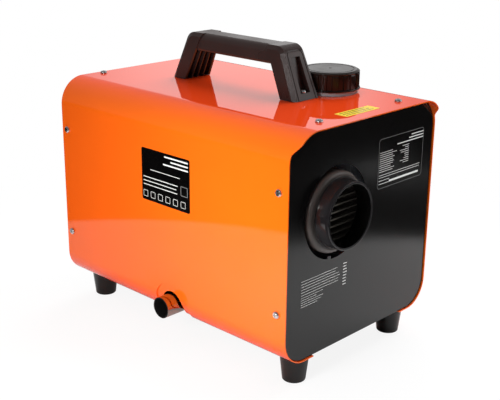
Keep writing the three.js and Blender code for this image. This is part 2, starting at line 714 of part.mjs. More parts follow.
function airInletGrille() {
  const outer = tray.recess - gap;
  const face = outer - inlet.flangeThickness;
  const reach = face + inlet.reach;
  const bore = inlet.spigot - inlet.wall;
  const frame = [
    [face, bore], [face, inlet.flange - gap], [outer, inlet.flange], [outer, inlet.spigot],
    [reach, inlet.spigot], [reach, bore],
  ];
  const gridEnd = outer;
  const rings = inletRingShares.map((share) => {
    const middle = bore * share;
    return turnX(sleeve(middle - inlet.ring / 2, middle + inlet.ring / 2, face, gridEnd), facets.ring);
  });
  const spokes = Array.from({ length: inletSpokes }, (_, i) => {
    const spoke = box([face, gridEnd], [0, bore + inlet.wall / 2], [-inlet.ring / 2, inlet.ring / 2]);
    return spoke.rotateX((2 * Math.PI * i) / inletSpokes);
  });
  const hub = turnX(rod(inlet.hub, face, gridEnd));
  return onHeaterAxis(join(turnX(frame, facets.round), rings, spokes, hub));
}

// Heater shell: round collars at both ends, a rounded box between them.
function shellLoft(inset) {
  const ring = (at, halfWidth, halfHeight, radius) => ({
    at, outline: rounded(rectangle(-halfWidth, halfWidth, -halfHeight, halfHeight, radius), facets.shell),
  });
  const collar = (at, radius) => ring(at, radius - inset, radius - inset, (radius - inset) * nearlyRound);
  const body = (at) => ring(at, heater.width / 2 - inset, heater.height / 2 - inset, heater.corner - inset);
  const past = inset > 0 ? overcut : 0;
  return loft([
    collar(shellRear - past, heater.inlet), collar(rearCollarEnd, heater.inlet), body(bodyStart),
    body(bodyEnd), collar(frontCollarStart, heater.outlet), collar(shellFront + past, heater.outlet),
  ]);
}

function heaterShell() {
  const shell = onHeaterAxis(cut(shellLoft(0), shellLoft(heater.wall)));
  const under = heaterUp - heater.height / 2;
  const blockHole = box(
    [blockStart - block.clear, blockEnd + block.clear],
    [heaterAcross - block.halfWidth - block.clear, heaterAcross + block.halfWidth + block.clear],
    [under - overcut, under + overcut],
  );
  const airHole = turnZ(
    rod(blower.stub + block.clear, under - overcut, under + overcut),
  ).translate(intakeAlong, heaterAcross, 0);
  const roof = heaterUp + heater.height / 2;
  const loomHole = turnZ(
    rod(loom.hole, roof - overcut / 2, roof + overcut),
  ).translate(loomAlong, heaterAcross, 0);
  return cut(shell, blockHole, airHole, loomHole);
}

function heaterHalf(shell, sign) {
  const from = heaterUp + (sign * gap) / 2;
  const to = heaterUp + sign * casing.height;
  const rest = [Math.min(from, to), Math.max(from, to)];
  return overlap(shell, box([-overcut, casing.length + overcut], [-casing.width, casing.width], rest));
}

// Burner unit

function warmAirFan() {
  const start = bodyStart + fan.hubStart;
  const end = bodyStart + fan.length;
  const bore = shaft.radius + shaft.clear;
  const hubProfile = [
    [start, bore], [start, fan.hub / 2], [start + fan.hub / 2, fan.hub], [end, fan.hub], [end, bore],
  ];
  const half = fan.bladeThickness / 2;
  const middle = (start + end) / 2;
  const span = (end - start) / 2 - half;
  const bladeRing = (at, turn, chord) => ({
    at,
    outline: [[-half, -chord], [half, -chord], [half, chord], [-half, chord]].map(([x, y]) =>
      new THREE.Vector2(x, y).rotateAround(new THREE.Vector2(), turn)),
  });
  const blades = Array.from({ length: fanBlades }, (_, i) => {
    const blade = loft([
      bladeRing(fan.hub / 2, fanPitch.root, span),
      bladeRing(fan.radius / 2, fanPitch.middle, span),
      bladeRing(fan.radius, fanPitch.tip, span),
    ], new THREE.Matrix4().makeBasis(axisY, axisX, axisZ));
    return blade.translate(middle, 0, 0).rotateX((2 * Math.PI * i) / fanBlades);
  });
  const wheel = join(turnX(hubProfile), blades);
  return cut(wheel, turnX(rod(bore, start - overcut, end + overcut)));
}

function combustionFan() {
  const start = blowerStart + blower.wall + impeller.clear;
  const hubEnd = start + impeller.width;
  const bore = shaft.radius + shaft.clear;
  const plateEnd = start + impeller.plate;
  const profile = [
    [start, bore], [start, impeller.radius], [plateEnd, impeller.radius], [plateEnd, impeller.hub],
    [hubEnd, impeller.hub], [hubEnd, bore],
  ];
  const inner = impeller.hub - impeller.blade;
  const arc = bladeShares.map((share) => {
    const reach = THREE.MathUtils.lerp(inner, impeller.radius - impeller.blade, share);
    return new THREE.Vector2(reach, 0).rotateAround(new THREE.Vector2(), share * share * bladeSweep);
  });
  const sideOf = (point, sign) => {
    const square = new THREE.Vector2(-point.y, point.x).normalize();
    return point.clone().addScaledVector(square, (sign * impeller.blade) / 2);
  };
  const outline = [
    ...arc.map((point) => sideOf(point, -1)), ...arc.map((point) => sideOf(point, 1)).reverse(),
  ];
  const blades = Array.from({ length: impellerBlades }, (_, i) =>
    alongX(
      outline, start + impeller.plate / 2, hubEnd - impeller.clear,
    ).rotateX((2 * Math.PI * i) / impellerBlades));
  return join(turnX(profile, facets.ring), blades);
}

function rotorShaft() {
  const end = blowerStart + blower.wall + impeller.clear + impeller.width + gap;
  return turnX(rod(shaft.radius, bodyStart, end), facets.hidden / 2);
}

function blowerMotor() {
  const bossEnd = motorStart + motor.bossLength;
  const end = motorStart + motor.length;
  const bore = shaft.radius + shaft.clear;
  const shoulder = motor.radius - motor.bossLength;
  return onHeaterAxis(turnX([
    [motorStart, bore], [motorStart, motor.boss], [bossEnd, motor.boss], [bossEnd, shoulder],
    [bossEnd + motor.bossLength, motor.radius], [end, motor.radius], [end, bore],
  ]));
}

function blowerHousing() {
  const bore = shaft.radius + shaft.clear;
  const drum = turnX([
    [blowerStart, bore], [blowerStart, blower.radius], [blowerEnd, blower.radius], [blowerEnd, blower.port],
    [blowerEnd - blower.frontWall, blower.port], [blowerEnd - blower.frontWall, blower.cavity],
    [blowerStart + blower.wall, blower.cavity], [blowerStart + blower.wall, bore],
  ], facets.ring);
  const middle = (blower.cavity + blower.radius) / 2;
  const intakeTube = turnZ(rod(blower.stub, -blower.drop, -middle)).translate(intakeAlong, 0, 0);
  const intakeBore = turnZ(
    rod(blower.stubBore, -blower.drop - overcut, -middle + blower.wall * 2),
  ).translate(intakeAlong, 0, 0);
  return onHeaterAxis(cut(join(drum, intakeTube), intakeBore));
}

function heatExchanger() {
  const flangeEndX = exchangerStart + exchanger.flangeThickness;
  const domeStart = exchangerEnd - exchanger.floor;
  const halfWidth = exchanger.finWidth / 2;
  const halfHeight = exchanger.finHeight / 2;
  const bounds = rectangle(-halfWidth, halfWidth, -halfHeight, halfHeight, exchanger.finCorner);
  const envelope = alongX(rounded(bounds, facets.small), exchangerStart, exchangerEnd);
  const finRun = [flangeEndX + exchanger.finFrom, domeStart];
  const fins = Array.from({ length: exchangerFins }, (_, i) => {
    const fin = box(
      finRun, [exchanger.cavity, exchanger.finHeight], [-exchanger.fin / 2, exchanger.fin / 2],
    );
    return fin.rotateX((2 * Math.PI * (i + 0.5)) / exchangerFins);
  });
  const core = turnX([
    [exchangerStart, 0], [exchangerStart, exchanger.flange], [flangeEndX, exchanger.flange],
    [flangeEndX, exchanger.core], [domeStart, exchanger.core],
    [exchangerEnd, exchanger.dome], [exchangerEnd, 0],
  ], facets.ring);
  const finned = overlap(join(core, fins), envelope);
  const foot = box(
    [blockStart, blockEnd], [-block.halfWidth, block.halfWidth], [-block.drop, -exchanger.core / 2],
  );
  const inBlock = exchanger.floor - block.drop;
  const exhaustStub = turnZ(
    rod(stub.radius, -block.drop - stub.length, inBlock),
  ).translate(exhaustAlong, 0, 0);
  const fuelStub = turnZ(rod(stub.fuelRadius, -block.drop - stub.fuelLength, inBlock), facets.screw);
  const boss = turnZ(
    rod(plug.boss, exchanger.core / 2, plug.bossHeight), facets.hidden,
  ).translate(plugAlong, 0, 0);
  const whole = join(finned, foot, exhaustStub, fuelStub.translate(fuelStubAlong, 0, 0), boss);
  const cavity = turnX(rod(exchanger.cavity, exchangerStart - overcut, domeStart), facets.ring);
  const outBore = turnZ(
    rod(stub.bore, -block.drop - stub.length - overcut, -exchanger.core / 2),
  ).translate(exhaustAlong, 0, 0);
  const plugBore = turnZ([
    [exchanger.core / 2, 0], [exchanger.core / 2, plug.bore], [plug.bossHeight, plug.bore],
    [plug.bossHeight, plug.boss], [plug.bossHeight + overcut, plug.boss], [plug.bossHeight + overcut, 0],
  ], facets.screw);
  return onHeaterAxis(cut(whole, cavity, outBore, plugBore.translate(plugAlong, 0, 0)));
}

function burnerTube() {
  const start = exchangerStart + gap;
  const plateEnd = start + burner.plateThickness;
  const end = exchangerEnd - exchanger.floor - burner.fromFloor;
  const inner = burner.tube - burner.tubeWall;
  return onHeaterAxis(turnX([
    [start, burner.port], [start, burner.plate], [plateEnd, burner.plate], [plateEnd, burner.tube],
    [end, burner.tube], [end, inner], [plateEnd, inner], [plateEnd, burner.port],
  ], facets.ring));
}

function glowPlug() {
  const headFoot = plug.bossHeight + gap;
  const head = turnZ(rod(plug.hex, headFoot, headFoot + plug.hexHeight), 6);
  const stem = turnZ(rod(plug.rod, plug.tip, headFoot + plug.hexHeight / 2), facets.screw);
  return onHeaterAxis(join(head, stem).translate(plugAlong, 0, 0));
}

function controlBoard() {
  const start = motorStart + board.start;
  const end = start + board.length;
  const under = boardTop - board.sheet;
  const half = board.width / 2;
  const plate = box([start, end], [-half, half], [under, boardTop]);
  const chips = chipShares.map((share) => {
    const middle = share * board.width;
    const run = [start + board.chip, end - board.chip];
    return box(
      run, [middle - board.chip, middle + board.chip], [under - board.chip, under + board.sheet / 2],
    );
  });
  const capacitors = capacitorShares.map((share) => {
    const can = turnZ(
      rod(board.capacitor, under - board.capacitorDrop, under + board.sheet / 2), facets.screw,
    );
    return can.translate(start + board.length / 2, share * board.width, 0);
  });
  return join(plate, chips, capacitors).translate(0, heaterAcross, 0);
}

// A folded strap that stands on the base plate and carries the unit's foot.
function heaterBracket() {
  const low = baseTop + gap;
  const footTop = low + bracket.sheet;
  const outline = rounded([
    [bracketStart, low], [bracketStart + bracket.foot, low], [bracketStart + bracket.foot, footTop],
    [bracketStart + bracket.sheet, footTop], [bracketStart + bracket.sheet, bracketTop - bracket.sheet],
    [bracketEnd - bracket.sheet, bracketTop - bracket.sheet], [bracketEnd - bracket.sheet, footTop],
    [bracketEnd - bracket.foot, footTop], [bracketEnd - bracket.foot, low], [bracketEnd, low],
    [bracketEnd, bracketTop], [bracketStart, bracketTop],
  ]);
  const strap = alongY(outline, heaterAcross - bracket.halfWidth, heaterAcross + bracket.halfWidth);
  const through = [bracketTop - overcut, bracketTop + overcut];
  const exhaustHole = turnZ(
    rod(stub.radius + 2 * gap, ...through),
  ).translate(exhaustAlong, heaterAcross, 0);
  const fuelHole = turnZ(
    rod(stub.fuelRadius + 2 * gap, ...through), facets.screw,
  ).translate(fuelStubAlong, heaterAcross, 0);
  return cut(strap, exhaustHole, fuelHole);
}

function exhaustPipe() {
  const top = bracketTop - bracket.sheet - gap;
  const path = route([
    [exhaustAlong, heaterAcross, top], [exhaustAlong, heaterAcross, exhaust.up],
    [exhaustAlong, -side - exhaust.past, exhaust.up],
  ], exhaust.bend);
  return pipe(path, exhaust.radius, exhaust.radius - exhaust.wall, exhaustSteps, facets.pipe);
}

function airIntakePipe() {
  const top = heaterUp - blower.drop - gap;
  const inner = airPipe.radius - airPipe.wall;
  const ease = airPipe.silencer - airPipe.radius;
  const profile = [
    [-airPipe.below, inner], [-airPipe.below, airPipe.radius], [airPipe.silencerFoot, airPipe.radius],
    [airPipe.silencerFoot + ease, airPipe.silencer], [airPipe.silencerTop - ease, airPipe.silencer],
    [airPipe.silencerTop, airPipe.radius], [top, airPipe.radius], [top, inner],
  ];
  return turnZ(profile).translate(intakeAlong, heaterAcross, 0);
}

// Fuel system

function tankBody(inset) {
  const low = tankFoot + inset;
  const high = tankTop - inset;
  const near = tankNear + inset;
  const far = tankFar - inset;
  const round = tank.endRound - inset;
  const outline = rounded([
    [near, low, tank.bottomNear - inset], [far, low, tank.bottomFar - inset],
    [far, high, tank.topRound - inset], [near, high, tank.topRound - inset],
  ], facets.small);
  const depth = tankFront - tank.rear - 2 * tank.endRound;
  const rounding = {
    depth, bevelSegments: inset > 0 ? 1 : 2, bevelSize: round, bevelOffset: -round, bevelThickness: round,
  };
  const body = new THREE.ExtrudeGeometry(new THREE.Shape(outline), rounding);
  return closed(body.applyMatrix4(basisX).translate(tank.rear + tank.endRound, 0, 0));
}

function fuelTank() {
  const atFiller = (geometry) => geometry.translate(fillerAlong, fillerAcross, 0);
  const buried = tankTop - tank.wall / 2;
  const collarTop = casing.height + filler.collarHeight;
  const neck = atFiller(turnZ([
    [buried, 0], [buried, filler.collar], [collarTop, filler.collar], [collarTop, filler.neck],
    [neckTop, filler.neck], [neckTop, 0],
  ], facets.cap));
  const bore = atFiller(turnZ(rod(filler.bore, tankTop - overcut, neckTop + overcut), facets.ring));
  const tap = turnY(rod(elbow.spigot + gap, tankNear - overcut, tankNear + overcut), facets.screw);
  return cut(join(tankBody(0), neck), tankBody(tank.wall), bore, tap.translate(elbowAlong, 0, elbow.up));
}

function fuelCap() {
  const top = capTop - capFoot;
  const bandFoot = top - cap.bandHeight;
  const shoulder = top - cap.round;
  const shoulderRadius = (cap.crest + cap.crown + cap.round) / 2;
  const floor = top - cap.dimpleDepth;
  const body = turnZ([
    [0, 0], [0, cap.lip], [cap.lipHeight, cap.lip], [cap.lipHeight + cap.round, cap.root],
    [bandFoot, cap.root], [bandFoot + cap.round, cap.crest], [shoulder - cap.round, cap.crest],
    [shoulder, shoulderRadius], [top, cap.crown], [top, cap.dimple],
    [floor, cap.dimple - cap.round], [floor, 0],
  ], facets.cap);
  const ribs = Array.from({ length: capRibs }, (_, i) => {
    const half = (i % 2 ? cap.narrowRib : cap.wideRib) / 2;
    const rib = box(
      [cap.root - cap.round, cap.crest], [-half, half], [cap.lipHeight, bandFoot + cap.round],
    );
    return rib.rotateZ((2 * Math.PI * i) / capRibs);
  });
  const inside = turnZ(rod(cap.inside, -overcut, capCeiling - capFoot), facets.cap);
  return cut(join(body, ribs), inside);
}

function tankOutlet() {
  const { flange, flangeThickness, barb, bore, length, spigot } = elbow;
  const flangeBack = -flangeThickness;
  const tip = flangeBack - length;
  return turnY([
    [tip, bore], [tip, barb], [flangeBack, barb], [flangeBack, flange], [0, flange], [0, spigot],
    [tank.wall, spigot], [tank.wall, bore],
  ], facets.hidden).translate(elbowAlong, tankNear - gap, elbow.up);
}

function inlineFilter() {
  const half = filter.length / 2;
  const tip = half + filter.nippleLength;
  const barrel = half - filter.shoulder;
  return turnX([
    [-tip, 0], [-tip, elbow.barb], [-half, elbow.barb], [-half, filter.end], [-barrel, filter.radius],
    [barrel, filter.radius], [half, filter.end], [half, elbow.barb], [tip, elbow.barb], [tip, 0],
  ]);
}

function dosingPump() {
  const half = pump.length / 2;
  const neckEnd = half + pump.neckLength;
  const tip = neckEnd + pump.nippleLength;
  return turnX([
    [-tip, 0], [-tip, elbow.barb], [-neckEnd, elbow.barb], [-neckEnd, pump.neck], [-half, pump.neck],
    [-half, pump.radius], [half, pump.radius], [half, pump.neck], [neckEnd, pump.neck],
    [neckEnd, elbow.barb], [tip, elbow.barb], [tip, 0],
  ]);
}

function pumpMount() {
  const { x, y, z } = pumpCentre;
  const saddle = box(
    [x - mount.halfLength, x + mount.halfLength], [y - mount.halfWidth, y + mount.halfWidth],
    [baseTop + gap, z],
  );
  const body = turnX(rod(pump.radius + gap, -pump.length, pump.length));
  return cut(saddle, body.rotateY(-pumpTilt).translate(x, y, z));
}

const pumpEnd = (sign) => pumpCentre.clone().addScaledVector(
  pumpAxis, sign * (pump.length / 2 + pump.neckLength + gap),
);

function hoseFromTank() {
  const start = tankNear - gap - elbow.flangeThickness - gap;
  const path = route([
    [elbowAlong, start, elbow.up], [elbowAlong, filterAcross, elbow.up],
    [filterAlong + filter.length / 2 + gap, filterAcross, elbow.up],
  ], hoseRun.bend);
  return pipe(path, hose.radius, hose.bore, hoseSteps);
}

function hoseToPump() {
  const filterEnd = filterAlong - filter.length / 2 - gap;
  const inletEnd = pumpEnd(-1);
  const turnPoint = inletEnd.clone().addScaledVector(pumpAxis, -hoseRun.past);
  const path = route([
    [filterEnd, filterAcross, elbow.up], [filterEnd - hoseRun.rear, filterAcross, elbow.up],
    turnPoint.toArray(), inletEnd.toArray(),
  ], hoseRun.bend);
  return pipe(path, hose.radius, hose.bore, hoseSteps);
}

function lineToBurner() {
  const start = pumpCentre.clone().addScaledVector(
    pumpAxis, pump.length / 2 + pump.neckLength + pump.nippleLength + gap,
  );
  const ahead = start.clone().addScaledVector(pumpAxis, fuelLine.ahead);
  const end = blockFoot - stub.fuelLength - gap;
  const across = heaterAcross - fuelLine.fromHeater;
  const up = blockFoot - fuelLine.belowBlock;
  const path = route([
    start.toArray(), ahead.toArray(), [ahead.x, across, up], [fuelStubAlong, across, up],
    [fuelStubAlong, heaterAcross, up], [fuelStubAlong, heaterAcross, end],
  ], fuelLine.bend);
  return pipe(path, fuelLine.radius, 0, lineSteps);
}

// Controls on the rear panel

function controlPanel() {
  const plate = rectangle(
    -panelWidth / 2, panelWidth / 2, -panel.height / 2, panel.height / 2, panel.corner,
  );
  const plateOutline = rounded(plate, facets.small);
  const halfWidth = panelWidth / 2 - panel.boxInset;
  const halfHeight = panel.height / 2 - panel.boxInset;
  const boxEnd = panelBack + panel.boxDepth;
  const casework = box(
    [panelFace + panel.plate / 2, boxEnd], [-halfWidth, halfWidth], [-halfHeight, halfHeight],
  );
  const wall = panel.boxWall;
  const room = box(
    [panelBack, boxEnd - wall], [wall - halfWidth, halfWidth - wall],
    [wall - halfHeight, halfHeight - wall],
  );
  const paneHalf = [displayWidth / 2 + gap, display.height / 2 + gap];
  const recess = box(
    [panelFace - overcut, panelFace + display.thickness + gap], [-paneHalf[0], paneHalf[0]],
    [display.up - paneHalf[1], display.up + paneHalf[1]],
  );
  const sightHalf = [displayWidth / 2 - display.rim, display.height / 2 - display.rim];
  const sight = box(
    [panelFace - overcut, panelBack + wall], [-sightHalf[0], sightHalf[0]],
    [display.up - sightHalf[1], display.up + sightHalf[1]],
  );
  const holes = buttonAcross.map((across) => {
    const hole = turnX(
      rod(button.radius + button.clear, panelFace - overcut, panelBack + wall), facets.hidden,
    );
    return hole.translate(0, across, -button.down);
  });
  const loomHole = turnX(rod(loom.radius + 2 * gap, boxEnd - wall - gap, boxEnd + overcut), facets.screw);
  const shell = join(alongX(plateOutline, panelFace, panelBack), casework);
  return cut(shell, room, recess, sight, holes, loomHole).translate(0, panelAcross, panelUp);
}

function displayWindow() {
  const pane = box(
    [panelFace, panelFace + display.thickness], [-displayWidth / 2, displayWidth / 2],
    [-display.height / 2, display.height / 2],
  );
  return pane.translate(0, panelAcross, panelUp + display.up);
}

// Stands on the panel's face with its press face towards -X and its retaining flange behind the plate.
function pushButton() {
  const back = panel.plate + gap;
  const end = back + button.flangeThickness;
  const flange = button.radius + button.flange;
  return turnX([
    [-button.stand, 0], [-button.stand, button.radius - button.round],
    [button.round - button.stand, button.radius], [back, button.radius], [back, flange],
    [end, flange], [end, 0],
  ], facets.hidden);
}

function powerSocket() {
  const face = panelBack - socket.flangeThickness;
  const end = face + socket.depth;
  const floor = face + socket.boreDepth;
  const body = turnX([
    [face, socket.bore], [face, socket.flange], [panelBack, socket.flange], [panelBack, socket.body],
    [end, socket.body], [end, 0], [floor, 0], [floor, socket.bore],
  ], facets.hidden);
  const pins = [-1, 1].map((sign) => {
    const pin = turnX(
      rod(socket.pin, face + socket.flangeThickness, floor + socket.flangeThickness / 2), facets.screw,
    );
    return pin.translate(0, sign * socket.pinPitch, 0);
  });
  return join(body, pins).translate(0, panelAcross, socket.up);
}

function wiringLoom() {
  const over = shellTop + loom.over;
  const start = panelBack + panel.boxDepth - panel.boxWall;
  const trunk = route([
    [start, panelAcross, panelUp], [loom.rear, panelAcross, panelUp], [loom.rear, panelAcross, over],
    [loom.rear, heaterAcross, over], [loomAlong, heaterAcross, over],
    [loomAlong, heaterAcross, boardTop + gap],
  ], loom.bend);
  const socketEnd = panelBack - socket.flangeThickness + socket.depth + gap;
  const branch = route([
    [socketEnd, panelAcross, socket.up], [loom.rear, panelAcross, socket.up],
    [loom.rear, panelAcross, panelUp + loom.splice],
  ], loom.bend);
  return join(pipe(trunk, loom.radius, 0, loomSteps), pipe(branch, loom.branch, 0, loomSteps / 2));
}

// Place and name every piece

const model = new THREE.Group();
model.name = "diesel_heater";

function add(name, geometry, material) {
  const mesh = new THREE.Mesh(geometry, material);
  mesh.name = name;
  model.add(mesh);
  return mesh;
}

add("casing_wrap", casingWrap(), orangePaint);
add("front_panel", frontPanel(), blackPaint);
add("rear_panel", rearPanel(), blackPaint);
add("base_plate", basePlate(), blackPaint);

for (const [end, along] of [["rear", foot.fromEnd], ["front", casing.length - foot.fromEnd]]) {
  for (const [hand, sign] of [["near", -1], ["far", 1]]) {
    const across = sign * (side - foot.fromSide);
    add(`foot_${end}_${hand}`, rubberFoot(), blackRubber).position.set(along, across, -gap);
  }
}

for (const { name, seat, outward } of screwSeats) {
  const mesh = add(name, panScrew(screw), zinc);
  mesh.quaternion.setFromUnitVectors(axisZ, outward);
  mesh.position.copy(seat).addScaledVector(outward, gap);
}

const handleBase = casing.height + gap;
add("handle", carryingHandle(), blackPlastic).position.set(handleCentre, 0, handleBase);
for (const [end, sign] of [["rear", -1], ["front", 1]]) {
  const mesh = add(`handle_screw_${end}`, panScrew(handleScrew), zinc);
  mesh.position.set(handleCentre + sign * handleScrewAlong, 0, handleBase + handlePocket.floor + gap);
}

add("outlet_nozzle", outletNozzle(), glossPlastic);
add("outlet_guard", outletGuard(), glossPlastic);
add("air_inlet_grille", airInletGrille(), blackPlastic);

const shell = heaterShell();
add("heater_shell_upper", heaterHalf(shell, 1), blackPlastic);
add("heater_shell_lower", heaterHalf(shell, -1), blackPlastic);
add("heat_exchanger", heatExchanger(), castAluminium);
add("burner", burnerTube(), rawSteel);
add("glow_plug", glowPlug(), rawSteel);
add("blower_housing", blowerHousing(), castAluminium);
add("blower_motor", blowerMotor(), rawSteel);
add("rotor_shaft", rotorShaft(), rawSteel).position.set(0, heaterAcross, heaterUp);
add("combustion_fan", combustionFan(), blackPlastic).position.set(0, heaterAcross, heaterUp);
add("warm_air_fan", warmAirFan(), blackPlastic).position.set(0, heaterAcross, heaterUp);
add("control_board", controlBoard(), boardGreen);
add("heater_bracket", heaterBracket(), rawSteel);
add("exhaust_pipe", exhaustPipe(), polishedSteel);
add("intake_pipe", airIntakePipe(), blackPlastic);

add("fuel_tank", fuelTank(), whitePlastic);
add("cap_gasket", turnZ(sleeve(filler.bore, filler.neck, 0, gasket.thickness), facets.ring), blackRubber)
  .position.set(fillerAlong, fillerAcross, gasketFoot);
add("fuel_cap", fuelCap(), blackPlastic).position.set(fillerAlong, fillerAcross, capFoot);
add("tank_outlet", tankOutlet(), blackPlastic);
add("hose_tank_filter", hoseFromTank(), blackRubber);
add("fuel_filter", inlineFilter(), whitePlastic).position.set(filterAlong, filterAcross, elbow.up);
add("hose_filter_pump", hoseToPump(), blackRubber);
const pumpMesh = add("fuel_pump", dosingPump(), rawSteel);
pumpMesh.position.copy(pumpCentre);
pumpMesh.rotation.y = -pumpTilt;
add("pump_mount", pumpMount(), blackRubber);
add("fuel_line", lineToBurner(), whitePlastic);

add("control_panel", controlPanel(), glossPlastic);
add("display_window", displayWindow(), darkGlass);
buttonAcross.forEach((across, i) => {
  const mesh = add(["down_button", "power_button", "up_button"][i], pushButton(), blackRubber);
  mesh.position.set(panelFace, panelAcross + across, panelUp - button.down);
});
add("power_socket", powerSocket(), blackPlastic);
add("wiring_loom", wiringLoom(), blackRubber);

// The origin is the middle of the footprint, on the surface that the feet stand on.
model.updateMatrixWorld(true);
const bounds = new THREE.Box3().setFromObject(model, true);
model.position.set(-(bounds.min.x + bounds.max.x) / 2, -(bounds.min.y + bounds.max.y) / 2, -bounds.min.z);

export default model;
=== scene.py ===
"""Looks for a portable diesel heater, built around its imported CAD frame.

Sizes are in millimetres in the casing's own frame: X runs from the rear panel to the outlet, Y across, and Z up
from the casing's underside. Each finished piece is moved into the row frame, in metres, as it is dressed.
"""

import json
import logging
import math
from collections.abc import Callable, Iterator, Sequence
from contextlib import contextmanager
from dataclasses import dataclass
from enum import Enum
from typing import Any

import bmesh
import bpy
from mathutils import Matrix, Vector


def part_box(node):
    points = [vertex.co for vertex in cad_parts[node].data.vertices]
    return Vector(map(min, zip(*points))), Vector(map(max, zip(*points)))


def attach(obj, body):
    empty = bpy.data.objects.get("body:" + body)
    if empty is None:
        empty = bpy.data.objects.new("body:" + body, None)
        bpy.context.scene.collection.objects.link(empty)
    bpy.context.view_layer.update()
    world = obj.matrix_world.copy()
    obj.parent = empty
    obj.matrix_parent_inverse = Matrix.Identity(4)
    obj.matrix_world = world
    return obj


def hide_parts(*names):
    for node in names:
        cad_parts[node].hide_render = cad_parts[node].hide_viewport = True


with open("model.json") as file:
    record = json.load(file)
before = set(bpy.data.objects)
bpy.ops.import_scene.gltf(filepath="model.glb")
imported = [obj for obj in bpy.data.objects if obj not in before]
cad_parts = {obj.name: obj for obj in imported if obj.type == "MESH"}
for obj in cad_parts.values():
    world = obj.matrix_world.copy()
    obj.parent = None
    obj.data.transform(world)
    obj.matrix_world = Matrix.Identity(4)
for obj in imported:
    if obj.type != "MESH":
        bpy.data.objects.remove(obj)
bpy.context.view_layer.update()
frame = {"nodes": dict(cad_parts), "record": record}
LOG = logging.getLogger("diesel_heater")

Colour = tuple[float, float, float]
Point = Sequence[float]
Outline = list[Vector]
Piece = bpy.types.Object
Socket = bpy.types.NodeSocket
Seat = tuple[Vector, Vector]

GAP = 0.3
OVERCUT = 12.0
WELD = 1e-4
HEATER = "heater"
LENGTH = 361.0
HEIGHT = 248.0
SIDE = 122.5
OUTLET = (-46.0, 152.4)
FILLER = (262.5, 55.3)
EXHAUST_ALONG = 189.4
UP = Vector((0, 0, 1))
WHITE = (1, 1, 1, 1)


class Axis(Enum):
    """The axis that a prism is swept along or a profile is turned about."""

    X = 0
    Y = 1
    Z = 2

    def point(self, across: float, up: float, along: float) -> Vector:
        """Places a point of a flat outline at a distance along this axis."""
        flat = (across, up)
        return Vector((*flat[:self.value], along, *flat[self.value:]))


class Cut(Enum):
    """How one solid changes another."""

    JOIN = "UNION"
    TAKE = "DIFFERENCE"
    KEEP = "INTERSECT"


class Texture(Enum):
    """What breaks up the surface of a finish."""

    PEEL = "orange peel"
    GRAIN = "moulded grain"
    BRUSHED = "brushed"
    CAST = "cast"
    WOVEN = "woven"


def srgb(*channels: int) -> Colour:
    """Turns a colour as a picture holds it, 0 to 255, into linear light."""
    shares = [value / 255 for value in channels]
    return tuple(s / 12.92 if s <= 0.04045 else ((s + 0.055) / 1.055) ** 2.4 for s in shares)


def shade_of(colour: Colour, share: float) -> Colour:
    """Returns the colour, lighter or darker by a share."""
    return tuple(channel * share for channel in colour)


def rounded(corners: Sequence[Point], steps: int = 12) -> Outline:
    """Rounds the corners of a closed outline.

    Args:
        corners: (across, up) or (across, up, radius) for each corner, in order.
        steps: chords in each arc.

    Returns:
        The outline's points.
    """
    outline = []
    for i, (across, up, *rounding) in enumerate(corners):
        point, radius = Vector((across, up)), sum(rounding)
        if radius <= 0:
            outline.append(point)
            continue
        back = (Vector(corners[i - 1][:2]) - point).normalized()
        ahead = (Vector(corners[(i + 1) % len(corners)][:2]) - point).normalized()
        half = back.angle(ahead) / 2
        centre = point + (back + ahead).normalized() * (radius / math.sin(half))
        start, end = (point + way * (radius / math.tan(half)) - centre for way in (back, ahead))
        turn = math.atan2(start.x * end.y - start.y * end.x, start.dot(end))
        outline += [centre + Matrix.Rotation(turn * k / steps, 2) @ start for k in range(steps + 1)]
    return outline


def rectangle(left: float, right: float, low: float, high: float, radius: float = 0.0, steps: int = 12) -> Outline:
    """Gives a rectangle's outline, with rounded corners."""
    return rounded([(left, low, radius), (right, low, radius), (right, high, radius), (left, high, radius)], steps)


def tapered(half_low: float, half_high: float, low: float, high: float, corner: float = 0.0, steps: int = 12,
            foot_corner: float = 0.0) -> Outline:
    """Gives the outline of a trapezium, by half its widths, whose upper and lower corners are rounded."""
    feet = [(-half_low, low, foot_corner), (half_low, low, foot_corner)]
    return rounded([*feet, (half_high, high, corner), (-half_high, high, corner)], steps)


def object_of(name: str, mesh: bpy.types.Mesh) -> Piece:
    """Puts a mesh, a lamp or a camera into the scene as an object of its own.

    Args:
        name: the object's name.
        mesh: its data.

    Returns:
        The new object.
    """
    piece = bpy.data.objects.new(name, mesh)
    bpy.context.scene.collection.objects.link(piece)
    return piece


@contextmanager
def edited(mesh: bpy.types.Mesh) -> Iterator[bmesh.types.BMesh]:
    """Opens a mesh for editing and writes it back.

    Args:
        mesh: the mesh.

    Yields:
        The mesh as it is edited.
    """
    shell = bmesh.new()
    shell.from_mesh(mesh)
    yield shell
    shell.to_mesh(mesh)
    shell.free()


def mesh_piece(name: str, points: Sequence[Vector], faces: Sequence[Sequence[int]]) -> Piece:
    """Makes a closed mesh with merged points and faces that point outwards.

    Args:
        name: the piece's name.
        points: its points.
        faces: its faces, as places in points.

    Returns:
        The new object.
    """
    mesh = bpy.data.meshes.new(name)
    mesh.from_pydata([tuple(p) for p in points], [], faces)
    with edited(mesh) as shell:
        bmesh.ops.remove_doubles(shell, verts=shell.verts, dist=WELD)
        bmesh.ops.dissolve_degenerate(shell, edges=shell.edges, dist=WELD)
        bmesh.ops.recalc_face_normals(shell, faces=shell.faces)
    return object_of(name, mesh)


